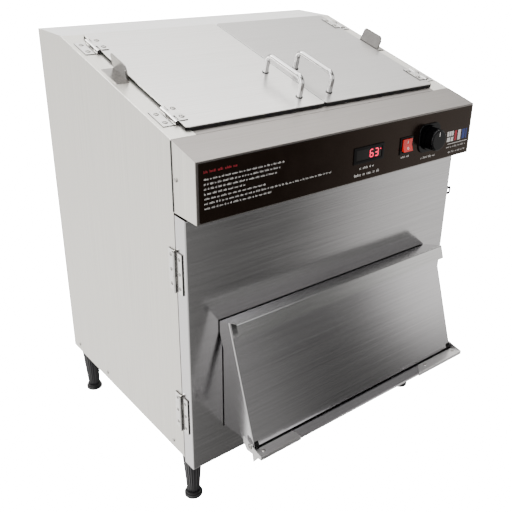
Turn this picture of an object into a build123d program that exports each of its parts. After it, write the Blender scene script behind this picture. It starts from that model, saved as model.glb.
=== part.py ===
"""Heated food holding cabinet: top-loading hopper, front door with a tilt-out chute panel, four legs.

Everything is modelled about the cabinet's own datum: x = 0 on the centre line, y = 0 on the front edge of the
side panels (+Y to the rear) and z = 0 on the underside of the cabinet. save() then moves each node so that the
origin is at the centre of the whole object's footprint, on the floor. Dimensions are in millimetres.
"""

import os
from math import atan2, cos, degrees, hypot, pi, radians, sin, tan

from build123d import *

# ---- Cabinet envelope ----
WIDTH = 610.0  # across the side panels
DEPTH = 450.0  # of the side panels
HEIGHT = 668.0  # from the cabinet's underside to its level top
FRONT_TOP = 576.5  # height of the sloping top's front edge
REAR_FLAT = 98.0  # depth of the level strip at the top rear
LEG_HEIGHT = 112.0
SHEET = 1.5  # outer sheet metal
LINER = 1.2  # inner and light sheet metal
GAP = 0.2  # assembly gap between neighbouring sheets
BEND = 2.5  # outer radius of a folded edge

HALF = WIDTH / 2
SLOPE_RUN = DEPTH - REAR_FLAT
SLOPE = degrees(atan2(HEIGHT - FRONT_TOP, SLOPE_RUN))
SLOPE_LENGTH = hypot(HEIGHT - FRONT_TOP, SLOPE_RUN)
ON_SLOPE = Location((0, 0, FRONT_TOP), (SLOPE, 0, 0))  # x across, y up the slope, z square to it

# ---- Top opening and lids, in slope coordinates ----
OPENING_X = 262.0
OPENING_FRONT = 22.0
OPENING_REAR = 342.0
OPENING_LIP = 14.0  # depth of the turned-down edge round the opening
FLANGE = 22.0  # folded edge of the side panels
LID_INNER_X = 0.8
LID_OUTER_X = 270.5
LID_FRONT = 14.0
LID_REAR = 352.0
LID_BOTTOM = 4.5
LID_TOP = LID_BOTTOM + SHEET
LID_CORNER = 6.0
LID_RIM_INSET = 12.0
LID_RIM_DEPTH = 14.0
LID_OPEN = 105.0  # degrees, where the lid leans on its stop
HANDLE_X = 33.5
HANDLE_FRONT = 45.0
HANDLE_SPAN = 96.0
HANDLE_RISE = 33.0
HANDLE_TUBE = 4.75
HANDLE_BEND = 13.0
STOP_FRONT = 176.0
STOP_LENGTH = 52.0
STOP_RISE = 30.0
STOP_FOOT_X = 298.0

# ---- Butt hinges ----
KNUCKLE = 3.2  # barrel radius
PIN = 1.6
PIN_FREE = 1.65  # bore of the knuckles that turn
LEAF = 1.2
LID_AXIS_X = 274.0
LID_AXIS_H = 4.0
LID_HINGE_LENGTH = 46.0
LID_HINGE_STARTS = (33.5, 284.5)
LID_LEAF_OUT = 297.0
LID_LEAF_IN = 256.0
DOOR_HINGE_LENGTH = 70.0
DOOR_HINGE_STARTS = (63.0, 332.0)
DOOR_LEAF = 2.0
DOOR_LEAF_REACH = 19.0  # from the pin's axis
DOOR_AXIS_X = -(HALF + 3.4)
DOOR_AXIS_Y = -1.1

# ---- Control box ----
BOX_OUT = 63.7  # how far it stands proud of the side panels
BOX_BOTTOM = 465.2
OVERLAY_X = 300.3
OVERLAY_BOTTOM = 467.3
OVERLAY_TOP = 557.0
OVERLAY = 0.6
DISPLAY_X, DISPLAY_Z = 33.0, 511.7
DISPLAY_W, DISPLAY_H = 70.0, 28.7
WINDOW_W, WINDOW_H = 60.0, 19.0
SWITCH_X, SWITCH_Z = 124.8, 510.0
SWITCH_W, SWITCH_H = 32.0, 31.0
ROCKER_W, ROCKER_H = 22.0, 22.4
ROCKER_TILT = 7.0
ROCKER_AXIS_Y = -58.0
KNOB_X, KNOB_Z = 184.5, 514.5
KNOB_R = 23.0
DIAL_W, DIAL_H = 56.0, 52.0
SHAFT_R = 3.2

# ---- Door and chute ----
DOOR_FRONT = -30.1
DOOR_BACK = -2.2
DOOR_BOTTOM = -8.2
DOOR_TOP = 461.0
CUT_X = 243.5
CUT_BOTTOM = 57.5
CUT_TOP = 270.0
CHEEK_X = 242.0
FLOOR_X = CHEEK_X - SHEET - GAP
FLOOR_START = (-3.9, 58.0)
FLOOR_CREST = (-106.0, 71.0)
FLOOR_END = (-150.0, 75.5)
LEAN = 18.7  # degrees, the access panel leans back from upright
PANEL_FOOT = (-127.2, 77.8)  # outer face's bottom edge
PANEL_LENGTH = 215.0
PANEL_X = 248.5
PANEL_RETURN = 34.0
PANEL_SHEET = 1.2
PANEL_BEND = 1.8  # outer radius of its folds
PULL_X = 246.0
PULL_OUT = 19.0
PULL_DROP = 26.0
PIVOT = (-122.5, 80.2)
PIVOT_R = 2.0
PIVOT_FREE = 2.05
PIVOT_CLEAR = 7.5  # the cheeks are cut back this far round the pivot
BRACKET_X = 253.3
BRACKET_LEFT = 83.0
BRACKET_RIGHT = 106.0
ON_PANEL = Location((0, *PANEL_FOOT), (-LEAN, 0, 0))  # z up the panel, y inwards from its outer face

# ---- Hopper, heater and fan ----
WALL_X = 264.0
HOPPER_REAR = 400.0
RAMP_FRONT = (6.0, 62.0)
RAMP_REAR = (399.0, 225.0)
FAN_Y, FAN_Z = 349.0, 72.0
FAN_SIZE = 120.0
FAN_DEPTH = 38.0
FAN_BORE = 57.0
ELEMENT_R = 4.0
ELEMENT_Z = 70.0

# ---- Legs ----
LEG_INSET_X = 26.0
LEG_FRONT_Y = 18.0
LEG_REAR_Y = DEPTH - 19.0
LEG_TOP_R = 19.0
LEG_BOTTOM_R = 11.6
LEG_RIBS = 22
RIB_DEPTH = 0.8
FOOT_R = 16.7
FOOT_HEIGHT = 11.0
STUD_R = 5.0
STUD_FREE = 5.1

# ---- Small parts that stand furthest out ----
TAB_OUT = 15.0  # pull tab on the door's right side
GLAND_OUT = 22.0  # cord gland behind the rear panel
COVER = 1.2  # rear service cover

LEFT_MOST = DOOR_AXIS_X - KNUCKLE
RIGHT_MOST = HALF + TAB_OUT
FRONT_MOST = FLOOR_END[0] - SHEET - LINER
REAR_MOST = DEPTH + GLAND_OUT
TO_ORIGIN = Location(
    (-(LEFT_MOST + RIGHT_MOST) / 2, -(FRONT_MOST + REAR_MOST) / 2, LEG_HEIGHT)
)


# ---- Helpers ----
def block(x0, x1, y0, y1, z0, z1):
    """A box between two corners."""
    centre = Location(((x0 + x1) / 2, (y0 + y1) / 2, (z0 + z1) / 2))
    return centre * Box(x1 - x0, y1 - y0, z1 - z0)


def prism(points, x0, x1):
    """An outline of (y, z) points, extruded across from x0 to x1."""
    face = make_face(Polyline(*[(x0, y, z) for y, z in points], close=True))
    return extrude(face, amount=x1 - x0, dir=(1, 0, 0))


def rod(radius, start, end):
    """A round rod between two points."""
    line = Line(start, end)
    return sweep(Plane(origin=start, z_dir=line % 0) * Circle(radius), path=line)


def swap_sides(shape):
    """The mirror image of a left-hand part."""
    return mirror(shape, about=Plane.YZ)


def slope_z(y):
    """Height of the sloping top's plane at depth y."""
    return FRONT_TOP + y * tan(radians(SLOPE))


def save(name, *shapes):
    """Write one node: every solid of the shapes, moved to the object's origin."""
    solids = [TO_ORIGIN * solid for shape in shapes for solid in shape.solids()]
    export_step(Compound(children=solids), f"parts/{name}.step")


# ---- Outer casing ----
def side_panel():
    """Left side panel: one sheet with front and bottom folds and the strip beside the lid folded over."""
    outline = [(0, 0), (DEPTH, 0), (DEPTH, HEIGHT), (SLOPE_RUN, HEIGHT), (0, FRONT_TOP)]
    panel = prism(outline, -HALF, -HALF + SHEET)
    panel += block(-HALF, -HALF + FLANGE, 0, SHEET, 0, FRONT_TOP)
    panel += block(-HALF, -HALF + FLANGE, 0, DEPTH, 0, SHEET)
    under = SHEET / cos(radians(SLOPE))
    strip = [
        (0, FRONT_TOP),
        (SLOPE_RUN, HEIGHT),
        (DEPTH, HEIGHT),
        (DEPTH, HEIGHT - SHEET),
        (SLOPE_RUN, HEIGHT - SHEET),
        (0, FRONT_TOP - under),
    ]
    panel += prism(strip, -HALF, -OPENING_X)
    panel += ON_SLOPE * block(
        -OPENING_X - SHEET, -OPENING_X, GAP, SLOPE_LENGTH - SHEET, -OPENING_LIP, -SHEET / 2
    )
    folds = [
        edge
        for edge in panel.edges()
        if abs(edge.center().X + HALF) < 0.01
        and edge.center().Z > FRONT_TOP
        and edge.length > REAR_FLAT / 2
    ]
    folds = [edge for edge in folds if abs((edge % 0.5).Y) > 0.5]
    return fillet(folds, SHEET * 0.9)


def rear_panel():
    """Rear panel: a shallow pan with the service opening and the cord gland's hole."""
    x, top = HALF - SHEET - GAP, HEIGHT - SHEET - GAP
    bottom = 2 * SHEET + 2 * GAP
    pan = block(-x, x, DEPTH - 15, DEPTH, bottom, top)
    pan -= block(-x + SHEET, x - SHEET, 0, DEPTH - SHEET, bottom + SHEET, top - SHEET)
    pan -= block(-100, 100, DEPTH - 5, DEPTH + 5, 58, 132)
    return pan - rod(8.2, (-230, DEPTH - 5, 48), (-230, DEPTH + 5, 48))


def rear_service_cover():
    """Screwed plate over the fan and heater space, with two columns of air slots."""
    cover = block(-122, 122, DEPTH, DEPTH + COVER, 34, 156)
    cover = fillet(cover.edges().filter_by(Axis.Y), 8)
    for column in (-1, 1):
        for row in range(5):
            z = 67 + 14 * row
            cover -= block(
                column * 50 - 38, column * 50 + 38, DEPTH - 1, DEPTH + 5, z - 3, z + 3
            )
    return cover


def base_pan():
    """Bottom tray, resting on the side panels' folds."""
    x, z = HALF - SHEET - GAP, SHEET + GAP
    pan = block(-x, x, 4, DEPTH - GAP, z, z + SHEET)
    for y in (4, DEPTH - 17):
        pan += block(-x, x, y, y + SHEET, z, z + 14)
    return pan


def front_frame():
    """Sheet behind the door with the hopper's front opening and, above it, the control box's back."""
    x, y = HALF - SHEET - GAP, SHEET + GAP
    frame = block(-x, x, y, y + SHEET, 2 * SHEET + 2 * GAP, FRONT_TOP - 24)
    frame -= block(-OPENING_X, OPENING_X, 0, 10, 62, 452)
    return frame - rod(12, (60, 0, 505), (60, 10, 505))


def top_front_strip():
    """Narrow strip between the control box and the lids."""
    x = OPENING_X - GAP
    strip = block(-x, x, 0, OPENING_FRONT, -SHEET, 0)
    strip += block(-x, x, OPENING_FRONT - SHEET, OPENING_FRONT, -OPENING_LIP, 0)
    strip += block(-x, x, 0, SHEET, -18, 0)
    return ON_SLOPE * strip


def top_rear_strip():
    """Strip behind the lids: a sloping lip bent into the level top."""
    x = OPENING_X - GAP
    slope = radians(SLOPE)
    y0 = OPENING_REAR * cos(slope)
    outline = [
        (y0, slope_z(y0)),
        (SLOPE_RUN, HEIGHT),
        (DEPTH, HEIGHT),
        (DEPTH, HEIGHT - SHEET),
        (SLOPE_RUN, HEIGHT - SHEET),
        (y0, slope_z(y0) - SHEET / cos(slope)),
    ]
    strip = prism(outline, -x, x)
    lip = block(-x, x, OPENING_REAR, OPENING_REAR + SHEET, -OPENING_LIP, -SHEET / 2)
    return strip + ON_SLOPE * lip


def centre_rail():
    """Folded rail under the seam between the two lids."""
    y0, y1 = OPENING_FRONT + GAP, OPENING_REAR - GAP
    rail = block(-20, 20, y0, y1, -26, -11.5)
    return ON_SLOPE * (rail - block(-20 + LINER, 20 - LINER, y0 - 1, y1 + 1, -30, -11.5 - LINER))


# ---- Hopper ----
def hopper_wall():
    """Left inner wall of the hopper."""
    y0, y1 = 2 * SHEET + 2 * GAP, HOPPER_REAR + LINER + GAP
    top = HEIGHT - SHEET - 3
    outline = [(y0, 20), (y1, 20), (y1, top), (SLOPE_RUN, top), (y0, slope_z(y0) - 4)]
    return prism(outline, -WALL_X - LINER, -WALL_X)


def hopper_rear_wall():
    """Inner wall at the back of the hopper."""
    x = WALL_X - GAP
    return block(-x, x, HOPPER_REAR, HOPPER_REAR + LINER, RAMP_REAR[1], HEIGHT - SHEET - 3)


def hopper_ramp():
    """Sloping floor that brings the food forward to the chute."""
    (y0, z0), (y1, z1) = RAMP_FRONT, RAMP_REAR
    return prism([(y0, z0), (y1, z1), (y1, z1 - LINER), (y0, z0 - LINER)], -WALL_X + GAP, WALL_X - GAP)


def insulation_slabs():
    """Mineral-wool slabs beside and behind the hopper."""
    x0, x1 = -HALF + SHEET + GAP, -WALL_X - LINER - GAP
    outline = [(24, 20), (DEPTH - 18, 20), (DEPTH - 18, 640), (SLOPE_RUN, 640), (24, 556)]
    side = prism(outline, x0, x1)
    rear = block(-255, 255, HOPPER_REAR + LINER + GAP, DEPTH - 18, 240, 640)
    return side, swap_sides(side), rear


# ---- Lids ----
def lid_panel():
    """Left lid: a flat panel with rounded corners and a rim that drops into the opening."""
    plate = block(-LID_OUTER_X, -LID_INNER_X, LID_FRONT, LID_REAR, LID_BOTTOM, LID_TOP)
    plate = fillet(plate.edges().filter_by(Axis.Z), LID_CORNER)
    plate = fillet(plate.faces().sort_by(Axis.Z)[-1].edges(), 0.6)
    x0, x1 = -LID_OUTER_X + LID_RIM_INSET, -LID_INNER_X - LID_RIM_INSET / 2
    y0, y1 = LID_FRONT + LID_RIM_INSET, LID_REAR - LID_RIM_INSET - 2
    rim = block(x0, x1, y0, y1, LID_BOTTOM - LID_RIM_DEPTH, LID_BOTTOM)
    rim -= block(x0 + LINER, x1 - LINER, y0 + LINER, y1 - LINER, -50, LID_BOTTOM)
    return ON_SLOPE * (plate + rim)


def lid_handle():
    """Left lid's bent tube handle."""
    y0, y1 = HANDLE_FRONT, HANDLE_FRONT + HANDLE_SPAN
    top = LID_TOP + HANDLE_RISE
    corners = [(-HANDLE_X, y0, LID_TOP), (-HANDLE_X, y0, top), (-HANDLE_X, y1, top), (-HANDLE_X, y1, LID_TOP)]
    path = FilletPolyline(*corners, radius=HANDLE_BEND)
    return ON_SLOPE * sweep(Plane(origin=path @ 0, z_dir=path % 0) * Circle(HANDLE_TUBE), path=path)


def lid_stop():
    """Left lid stop: an angle screwed to the side strip, its upright leaning as far as the lid opens."""
    tilt = LID_OPEN - 90
    surface = LID_TOP - LID_AXIS_H + 0.4
    base_x = -LID_AXIS_X - surface * cos(radians(tilt))
    base_h = LID_AXIS_H - surface * sin(radians(tilt))
    root_x = base_x + base_h * tan(radians(tilt))
    upright = block(-SHEET, 0, 0, STOP_LENGTH, 0, STOP_RISE)
    upright = fillet(upright.edges().filter_by(Axis.X).sort_by(Axis.Z)[-2:], 7)
    upright += block(-4, 0, 0, SHEET, 4, STOP_RISE - 8)
    placed = Location((root_x, STOP_FRONT, 0.5), (0, -tilt, 0)) * upright
    foot = block(-STOP_FOOT_X, root_x - 0.2, STOP_FRONT, STOP_FRONT + STOP_LENGTH, 0, SHEET)
    return ON_SLOPE * (placed + foot)


def lid_hinge_fixed(start):
    """Left fixed leaf with its two end knuckles, from start up the slope."""
    third = LID_HINGE_LENGTH / 3
    end = start + LID_HINGE_LENGTH
    clear = LID_AXIS_X + KNUCKLE + 0.5
    leaf = block(-LID_LEAF_OUT, -clear, start, end, 0, LEAF)
    for y0 in (start, end - third + 0.15):
        y1 = y0 + third - 0.15
        leaf += block(-clear - 1, -LID_AXIS_X, y0, y1, 0, LEAF)
        leaf += rod(KNUCKLE, (-LID_AXIS_X, y0, LID_AXIS_H), (-LID_AXIS_X, y1, LID_AXIS_H))
    return ON_SLOPE * (leaf - lid_pin_hole(start, PIN + 0.01))


def lid_hinge_moving(start):
    """Left moving leaf with the middle knuckle."""
    third = LID_HINGE_LENGTH / 3
    end = start + LID_HINGE_LENGTH
    y0, y1 = start + third + 0.15, end - third - 0.15
    leaf = block(-LID_AXIS_X + KNUCKLE + 0.6, -LID_LEAF_IN, start, end, LID_TOP, LID_TOP + LEAF)
    leaf += block(-LID_AXIS_X, -LID_LEAF_IN - 1, y0, y1, LID_TOP, LID_TOP + LEAF)
    leaf += rod(KNUCKLE, (-LID_AXIS_X, y0, LID_AXIS_H), (-LID_AXIS_X, y1, LID_AXIS_H))
    return ON_SLOPE * (leaf - lid_pin_hole(start, PIN_FREE))


def lid_pin_hole(start, radius):
    """A rod along a lid hinge's axis, for its pin or the pin's hole."""
    y0, y1 = start - 1, start + LID_HINGE_LENGTH + 1
    return rod(radius, (-LID_AXIS_X, y0, LID_AXIS_H), (-LID_AXIS_X, y1, LID_AXIS_H))


def lid_hinge_pin(start):
    """A lid hinge's pin."""
    return ON_SLOPE * lid_pin_hole(start, PIN)


# ---- Door ----
def door_outer_skin():
    """Door's outer pan with folded edges and the chute's cut-out."""
    skin = block(-HALF, HALF, DOOR_FRONT, DOOR_BACK, DOOR_BOTTOM, DOOR_TOP)
    skin = fillet(skin.faces().sort_by(Axis.Y)[0].edges(), BEND)
    inside = block(
        -HALF + SHEET, HALF - SHEET, DOOR_FRONT + SHEET, 5, DOOR_BOTTOM + SHEET, DOOR_TOP - SHEET
    )
    return skin - inside - block(-CUT_X, CUT_X, -50, 10, CUT_BOTTOM, CUT_TOP)


def door_inner_liner():
    """Door's back sheet, with the tunnel that lines the cut-out."""
    x = HALF - SHEET - GAP
    z0, z1 = DOOR_BOTTOM + SHEET + GAP, DOOR_TOP - SHEET - GAP
    liner = block(-x, x, DOOR_BACK - 13, DOOR_BACK, z0, z1)
    liner -= block(-x + LINER, x - LINER, -40, DOOR_BACK - LINER, z0 + LINER, z1 - LINER)
    liner += block(
        -CUT_X - LINER, CUT_X + LINER, DOOR_FRONT + SHEET + GAP, DOOR_BACK, CUT_BOTTOM - LINER, CUT_TOP + LINER
    )
    return liner - block(-CUT_X, CUT_X, -50, 10, CUT_BOTTOM, CUT_TOP)


def door_gasket():
    """Silicone seal round the back of the door."""
    ring = block(-298, 298, DOOR_BACK, -0.3, 6, 455)
    return ring - block(-288, 288, -10, 10, 16, 445)


def door_hinge_leaf(start, side):
    """A door hinge leaf on the cabinet (side 1) or the door (side -1), with its knuckles."""
    end = start + DOOR_HINGE_LENGTH
    fifth = DOOR_HINGE_LENGTH / 5
    reach = side * DOOR_LEAF_REACH + DOOR_AXIS_Y
    clear = DOOR_AXIS_Y + side * (KNUCKLE + 0.6)
    y0, y1 = sorted((reach, clear))
    leaf = block(-HALF - DOOR_LEAF, -HALF, y0, y1, start, end)
    first = 0 if side > 0 else 1
    for index in range(first, 5, 2):
        z0, z1 = start + fifth * index + 0.1, start + fifth * (index + 1) - 0.1
        y0, y1 = sorted((clear + side, DOOR_AXIS_Y))
        leaf += block(-HALF - DOOR_LEAF, -HALF - 0.2, y0, y1, z0, z1)
        leaf += rod(KNUCKLE, (DOOR_AXIS_X, DOOR_AXIS_Y, z0), (DOOR_AXIS_X, DOOR_AXIS_Y, z1))
    return leaf - door_hinge_pin(start, PIN + 0.01 if side > 0 else PIN_FREE)


def door_hinge_pin(start, radius=PIN):
    """A door hinge's pin."""
    z0, z1 = start - 1.5, start + DOOR_HINGE_LENGTH + 1.5
    return rod(radius, (DOOR_AXIS_X, DOOR_AXIS_Y, z0), (DOOR_AXIS_X, DOOR_AXIS_Y, z1))


def door_pull_tab():
    """Small angle with a finger hole on the door's right side."""
    base = block(HALF, HALF + SHEET, -27, -6, 363, 382)
    tab = block(HALF, HALF + TAB_OUT, -25, -25 + SHEET, 364, 381)
    tab = fillet(tab.edges().filter_by(Axis.Y).sort_by(Axis.X)[-2:], 5)
    x = HALF + TAB_OUT - 6.8
    return base + tab - rod(3.6, (x, -30, 372.5), (x, -20, 372.5))


def chute_cheek():
    """Left side wall of the chute."""
    lean = tan(radians(LEAN))
    foot_y = PANEL_FOOT[0] + (PANEL_SHEET + 3) / cos(radians(LEAN))
    crest_y, crest_z = FLOOR_CREST
    outline = [
        FLOOR_START,
        FLOOR_CREST,
        (foot_y + (crest_z - PANEL_FOOT[1]) * lean, crest_z),
        (foot_y + (275 - PANEL_FOOT[1]) * lean, 275),
        (DOOR_FRONT, 266),
        (FLOOR_START[0], 266),
    ]
    cheek = prism(outline, -CHEEK_X, -CHEEK_X + SHEET)
    return cheek - rod(PIVOT_CLEAR, (-300, *PIVOT), (300, *PIVOT))


def chute_floor():
    """Chute floor, rising to a crest and ending in a ledge in front of the access panel."""
    (y0, z0), (y1, z1), (y2, z2) = FLOOR_START, FLOOR_CREST, FLOOR_END
    outline = [
        (y0, z0),
        (y1, z1),
        (y2, z2),
        (y2, z2 - 3),
        (y2 - SHEET, z2 - 3),
        (y2 - SHEET, z2 + SHEET),
        (y1, z1 + SHEET),
        (y0, z0 + SHEET),
    ]
    return prism(outline, -FLOOR_X, FLOOR_X)


def ledge_top(y):
    """Height of the ledge's upper face at depth y."""
    (y1, z1), (y2, z2) = FLOOR_CREST, FLOOR_END
    return z1 + SHEET + (y - y1) * (z2 - z1) / (y2 - SHEET - y1)


def chute_bracket(length, taper):
    """Left corner bracket with the access panel's pivot stud; taper lengthens its front edge."""
    rear, edge = -131.0, FLOOR_END[0] - SHEET
    front = edge - LINER
    low, high = GAP / 2, GAP / 2 + LINER
    inner = -BRACKET_X + length
    outline = [
        (rear, ledge_top(rear) + low),
        (front, ledge_top(front) + low),
        (front, ledge_top(front) + high),
        (rear, ledge_top(rear) + high),
    ]
    bracket = prism(outline, -BRACKET_X, inner + taper)
    corners = [(-BRACKET_X, rear), (inner, rear), (inner + taper, front), (-BRACKET_X, front)]
    bracket &= extrude(make_face(Polyline(*[(x, y, 40) for x, y in corners], close=True)), amount=60, dir=(0, 0, 1))
    lip = ledge_top(front) - 6
    bracket += block(-BRACKET_X, inner + taper, front, edge, lip, ledge_top(front) + high)
    ear = [
        (-104, 88.5),
        (front, ledge_top(front) + high),
        (front, lip),
        (-140, 70.5),
        (-113, 67),
        (-104, 79),
    ]
    lug = [(-126, 71), (-130, 52), (-147, 74)]
    bracket += prism(ear, -BRACKET_X, -BRACKET_X + LINER)
    bracket += prism(lug, -BRACKET_X + LINER, -BRACKET_X + 2 * LINER)
    return bracket + rod(PIVOT_R, (-BRACKET_X, *PIVOT), (-CHEEK_X - 2.5, *PIVOT))


def access_panel():
    """Tilt-out panel: face, deep side returns, top return and a small bottom hem."""
    t, x, top = PANEL_SHEET, PANEL_X, PANEL_LENGTH
    outline = [(0, -4), (10, -4), (PANEL_RETURN, 8), (PANEL_RETURN, top), (0, top)]
    panel = prism(outline, -x, x)
    folds = [edge for edge in panel.edges() if edge.center().Y < 0.01 and abs(edge.center().X) > x - 0.01]
    panel = fillet(folds, PANEL_BEND)
    panel -= block(-x + t, x - t, t, 60, -10, top - t)
    panel -= block(-x + t, x - t, -1, 60, -10, 0)
    hem_x = CHEEK_X - SHEET - 1
    panel += block(-hem_x, hem_x, t / 2, 3.5, 0, t)
    foot_edge = [edge for edge in panel.edges() if abs(edge.center().Y) + abs(edge.center().Z) < 0.01]
    panel = fillet(foot_edge, t * 0.7)
    placed = ON_PANEL * panel
    placed &= block(-300, 300, -300, DOOR_FRONT - 2.3, 0, 400)
    return placed - rod(PIVOT_FREE, (-300, *PIVOT), (300, *PIVOT))


def access_panel_pull():
    """Channel along the panel's top edge, open downwards, that is gripped to tilt the panel."""
    z0, z1 = PANEL_LENGTH - PULL_DROP, PANEL_LENGTH
    pull = block(-PULL_X, PULL_X, -PULL_OUT, 0, z0, z1)
    pull = fillet(pull.edges().filter_by(Axis.X).sort_by(Axis.Z)[-2:].sort_by(Axis.Y)[0], 2)
    inside = block(-PULL_X - 1, PULL_X + 1, -PULL_OUT + PANEL_SHEET, -PANEL_SHEET, z0 - 1, z1 - PANEL_SHEET)
    return ON_PANEL * (pull - inside)


# ---- Control box ----
def control_box_shell():
    """Control box: a folded shell open at the back, its top in line with the sloping lids."""
    back = -0.8
    outer = [
        (-BOX_OUT, BOX_BOTTOM),
        (back, BOX_BOTTOM),
        (back, slope_z(back)),
        (-BOX_OUT, slope_z(-BOX_OUT)),
    ]
    inner = [
        (-BOX_OUT + SHEET, BOX_BOTTOM + SHEET),
        (5, BOX_BOTTOM + SHEET),
        (5, slope_z(5) - SHEET),
        (-BOX_OUT + SHEET, slope_z(-BOX_OUT + SHEET) - SHEET),
    ]
    shell = prism(outer, -HALF, HALF)
    shell = fillet(shell.faces().sort_by(Axis.Y)[0].edges(), 1.3)
    return shell - prism(inner, -HALF + SHEET, HALF - SHEET) - panel_cutouts(0.4)


def panel_cutouts(clear):
    """What passes through the control box's face: display sleeve, switch body and thermostat shaft."""
    y0, y1 = -BOX_OUT - 5, -BOX_OUT + 5
    cut = at_face(DISPLAY_X, DISPLAY_Z, WINDOW_W + 1.6 + clear, WINDOW_H + 1.6 + clear, y0, y1)
    cut += at_face(SWITCH_X, SWITCH_Z, 27.6 + clear, 27.6 + clear, y0, y1)
    return cut + rod(5, (KNOB_X, y0, KNOB_Z), (KNOB_X, y1, KNOB_Z))


def at_face(x, z, width, height, y0, y1):
    """A block centred on (x, z), seen from the front."""
    return block(x - width / 2, x + width / 2, y0, y1, z - height / 2, z + height / 2)


def control_overlay():
    """Printed label sheet on the control box's face."""
    y0 = -BOX_OUT - OVERLAY
    sheet = block(-OVERLAY_X, OVERLAY_X, y0, -BOX_OUT, OVERLAY_BOTTOM, OVERLAY_TOP)
    sheet = fillet(sheet.edges().filter_by(Axis.Y), 2)
    return sheet - panel_cutouts(0.4)


def display_bezel():
    """Frame of the temperature display with its sleeve."""
    face = -BOX_OUT - OVERLAY
    rim = at_face(DISPLAY_X, DISPLAY_Z, DISPLAY_W, DISPLAY_H, face - 2, face)
    rim = fillet(rim.faces().sort_by(Axis.Y)[0].edges(), 0.8)
    rim += at_face(DISPLAY_X, DISPLAY_Z, WINDOW_W + 1.6, WINDOW_H + 1.6, face, -50)
    return rim - at_face(DISPLAY_X, DISPLAY_Z, WINDOW_W, WINDOW_H, face - 5, -40)


def display_window():
    """Tinted window in the display's frame."""
    face = -BOX_OUT - OVERLAY
    return at_face(DISPLAY_X, DISPLAY_Z, WINDOW_W - 0.4, WINDOW_H - 0.4, face - 0.8, face + 1)


def display_board():
    """Display module behind the window."""
    board = at_face(DISPLAY_X, DISPLAY_Z, WINDOW_W - 1, WINDOW_H - 1, -61, -52)
    return board + at_face(DISPLAY_X, DISPLAY_Z, 52, 26, -49.8, -48.2) + at_face(
        DISPLAY_X, DISPLAY_Z, 40, 12, -52, -49.8
    )


def switch_housing():
    """Rocker switch's housing, snapped into the face."""
    face = -BOX_OUT - OVERLAY
    housing = at_face(SWITCH_X, SWITCH_Z, SWITCH_W, SWITCH_H, face - 2, face)
    housing = fillet(housing.faces().sort_by(Axis.Y)[0].edges(), 0.8)
    housing += at_face(SWITCH_X, SWITCH_Z, 27.6, 27.6, face, -36)
    housing -= at_face(SWITCH_X, SWITCH_Z, ROCKER_W + 0.6, ROCKER_H + 2.2, face - 5, -48)
    reach = SWITCH_W / 2
    hole = rod(1.55, (SWITCH_X - 13, ROCKER_AXIS_Y, SWITCH_Z), (SWITCH_X + 13, ROCKER_AXIS_Y, SWITCH_Z))
    for x in (-7, 0, 7):
        housing += block(SWITCH_X + x - 2.4, SWITCH_X + x + 2.4, -36, -36 + reach / 2, SWITCH_Z - 0.4, SWITCH_Z + 0.4)
    return housing - hole


def power_rocker():
    """Rocker with two angled faces, lying with its top half pressed in."""
    half = ROCKER_H / 2
    outline = [(-12.5, half), (-10, 0), (-12.5, -half), (1, -half + 3.5), (5, 0), (1, half - 3.5)]
    rocker = prism(outline, -ROCKER_W / 2, ROCKER_W / 2)
    rocker += rod(1.5, (-12.6, 0, 0), (12.6, 0, 0))
    return Location((SWITCH_X, ROCKER_AXIS_Y, SWITCH_Z), (-ROCKER_TILT, 0, 0)) * rocker


def thermostat_dial_plate():
    """Moulded plate behind the thermostat knob."""
    face = -BOX_OUT - OVERLAY
    plate = at_face(KNOB_X, KNOB_Z, DIAL_W, DIAL_H, face - 2.6, face)
    plate = fillet(plate.edges().filter_by(Axis.Y), 14)
    plate = fillet(plate.faces().sort_by(Axis.Y)[0].edges(), 1)
    return plate - rod(5, (KNOB_X, -80, KNOB_Z), (KNOB_X, -50, KNOB_Z))


def thermostat_body():
    """Bulb thermostat behind the face, with its shaft, and the sensing bulb in the hopper."""
    body = at_face(KNOB_X, KNOB_Z, 44, 40, -61.5, -34)
    body = fillet(body.edges().filter_by(Axis.Y), 4)
    body += rod(SHAFT_R, (KNOB_X, -62, KNOB_Z), (KNOB_X, -81, KNOB_Z))
    bulb = rod(3, (-45, HOPPER_REAR - 7, 520), (45, HOPPER_REAR - 7, 520))
    for x in (-30, 30):
        clip = block(x - 3, x + 3, HOPPER_REAR - 11, HOPPER_REAR, 516, 524)
        bulb += clip
    return body, bulb


def thermostat_knob():
    """Round knob with a skirt."""
    back = -BOX_OUT - OVERLAY - 2.6 - 1
    skirt = rod(KNOB_R, (0, back, 0), (0, back - 4, 0))
    barrel = rod(KNOB_R - 4, (0, back - 4, 0), (0, back - 21, 0))
    barrel = fillet(barrel.faces().sort_by(Axis.Y)[0].edges(), 2.5)
    knob = skirt + barrel - rod(SHAFT_R + 0.05, (0, 0, 0), (0, -82, 0))
    return Location((KNOB_X, 0, KNOB_Z)) * knob


# ---- Fan, heater and wiring ----
def fan_frame():
    """Square fan frame with struts and the motor's spindle."""
    y0, y1 = FAN_Y - FAN_DEPTH / 2, FAN_Y + FAN_DEPTH / 2
    frame = at_face(0, FAN_Z, FAN_SIZE, FAN_SIZE, y0, y1)
    frame = fillet(frame.edges().filter_by(Axis.Y), 5) - rod(FAN_BORE, (0, y0 - 1, FAN_Z), (0, y1 + 1, FAN_Z))
    struts = block(-FAN_BORE - 1, FAN_BORE + 1, y1 - 5, y1, -3, 3) + block(-3, 3, y1 - 5, y1, -FAN_BORE - 1, FAN_BORE + 1)
    frame += Location((0, 0, FAN_Z), (0, 45, 0)) * struts
    frame += rod(20, (0, y1 - 6, FAN_Z), (0, y1, FAN_Z))
    return frame + rod(2.5, (0, y0 + 6, FAN_Z), (0, y1 - 2, FAN_Z))


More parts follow.
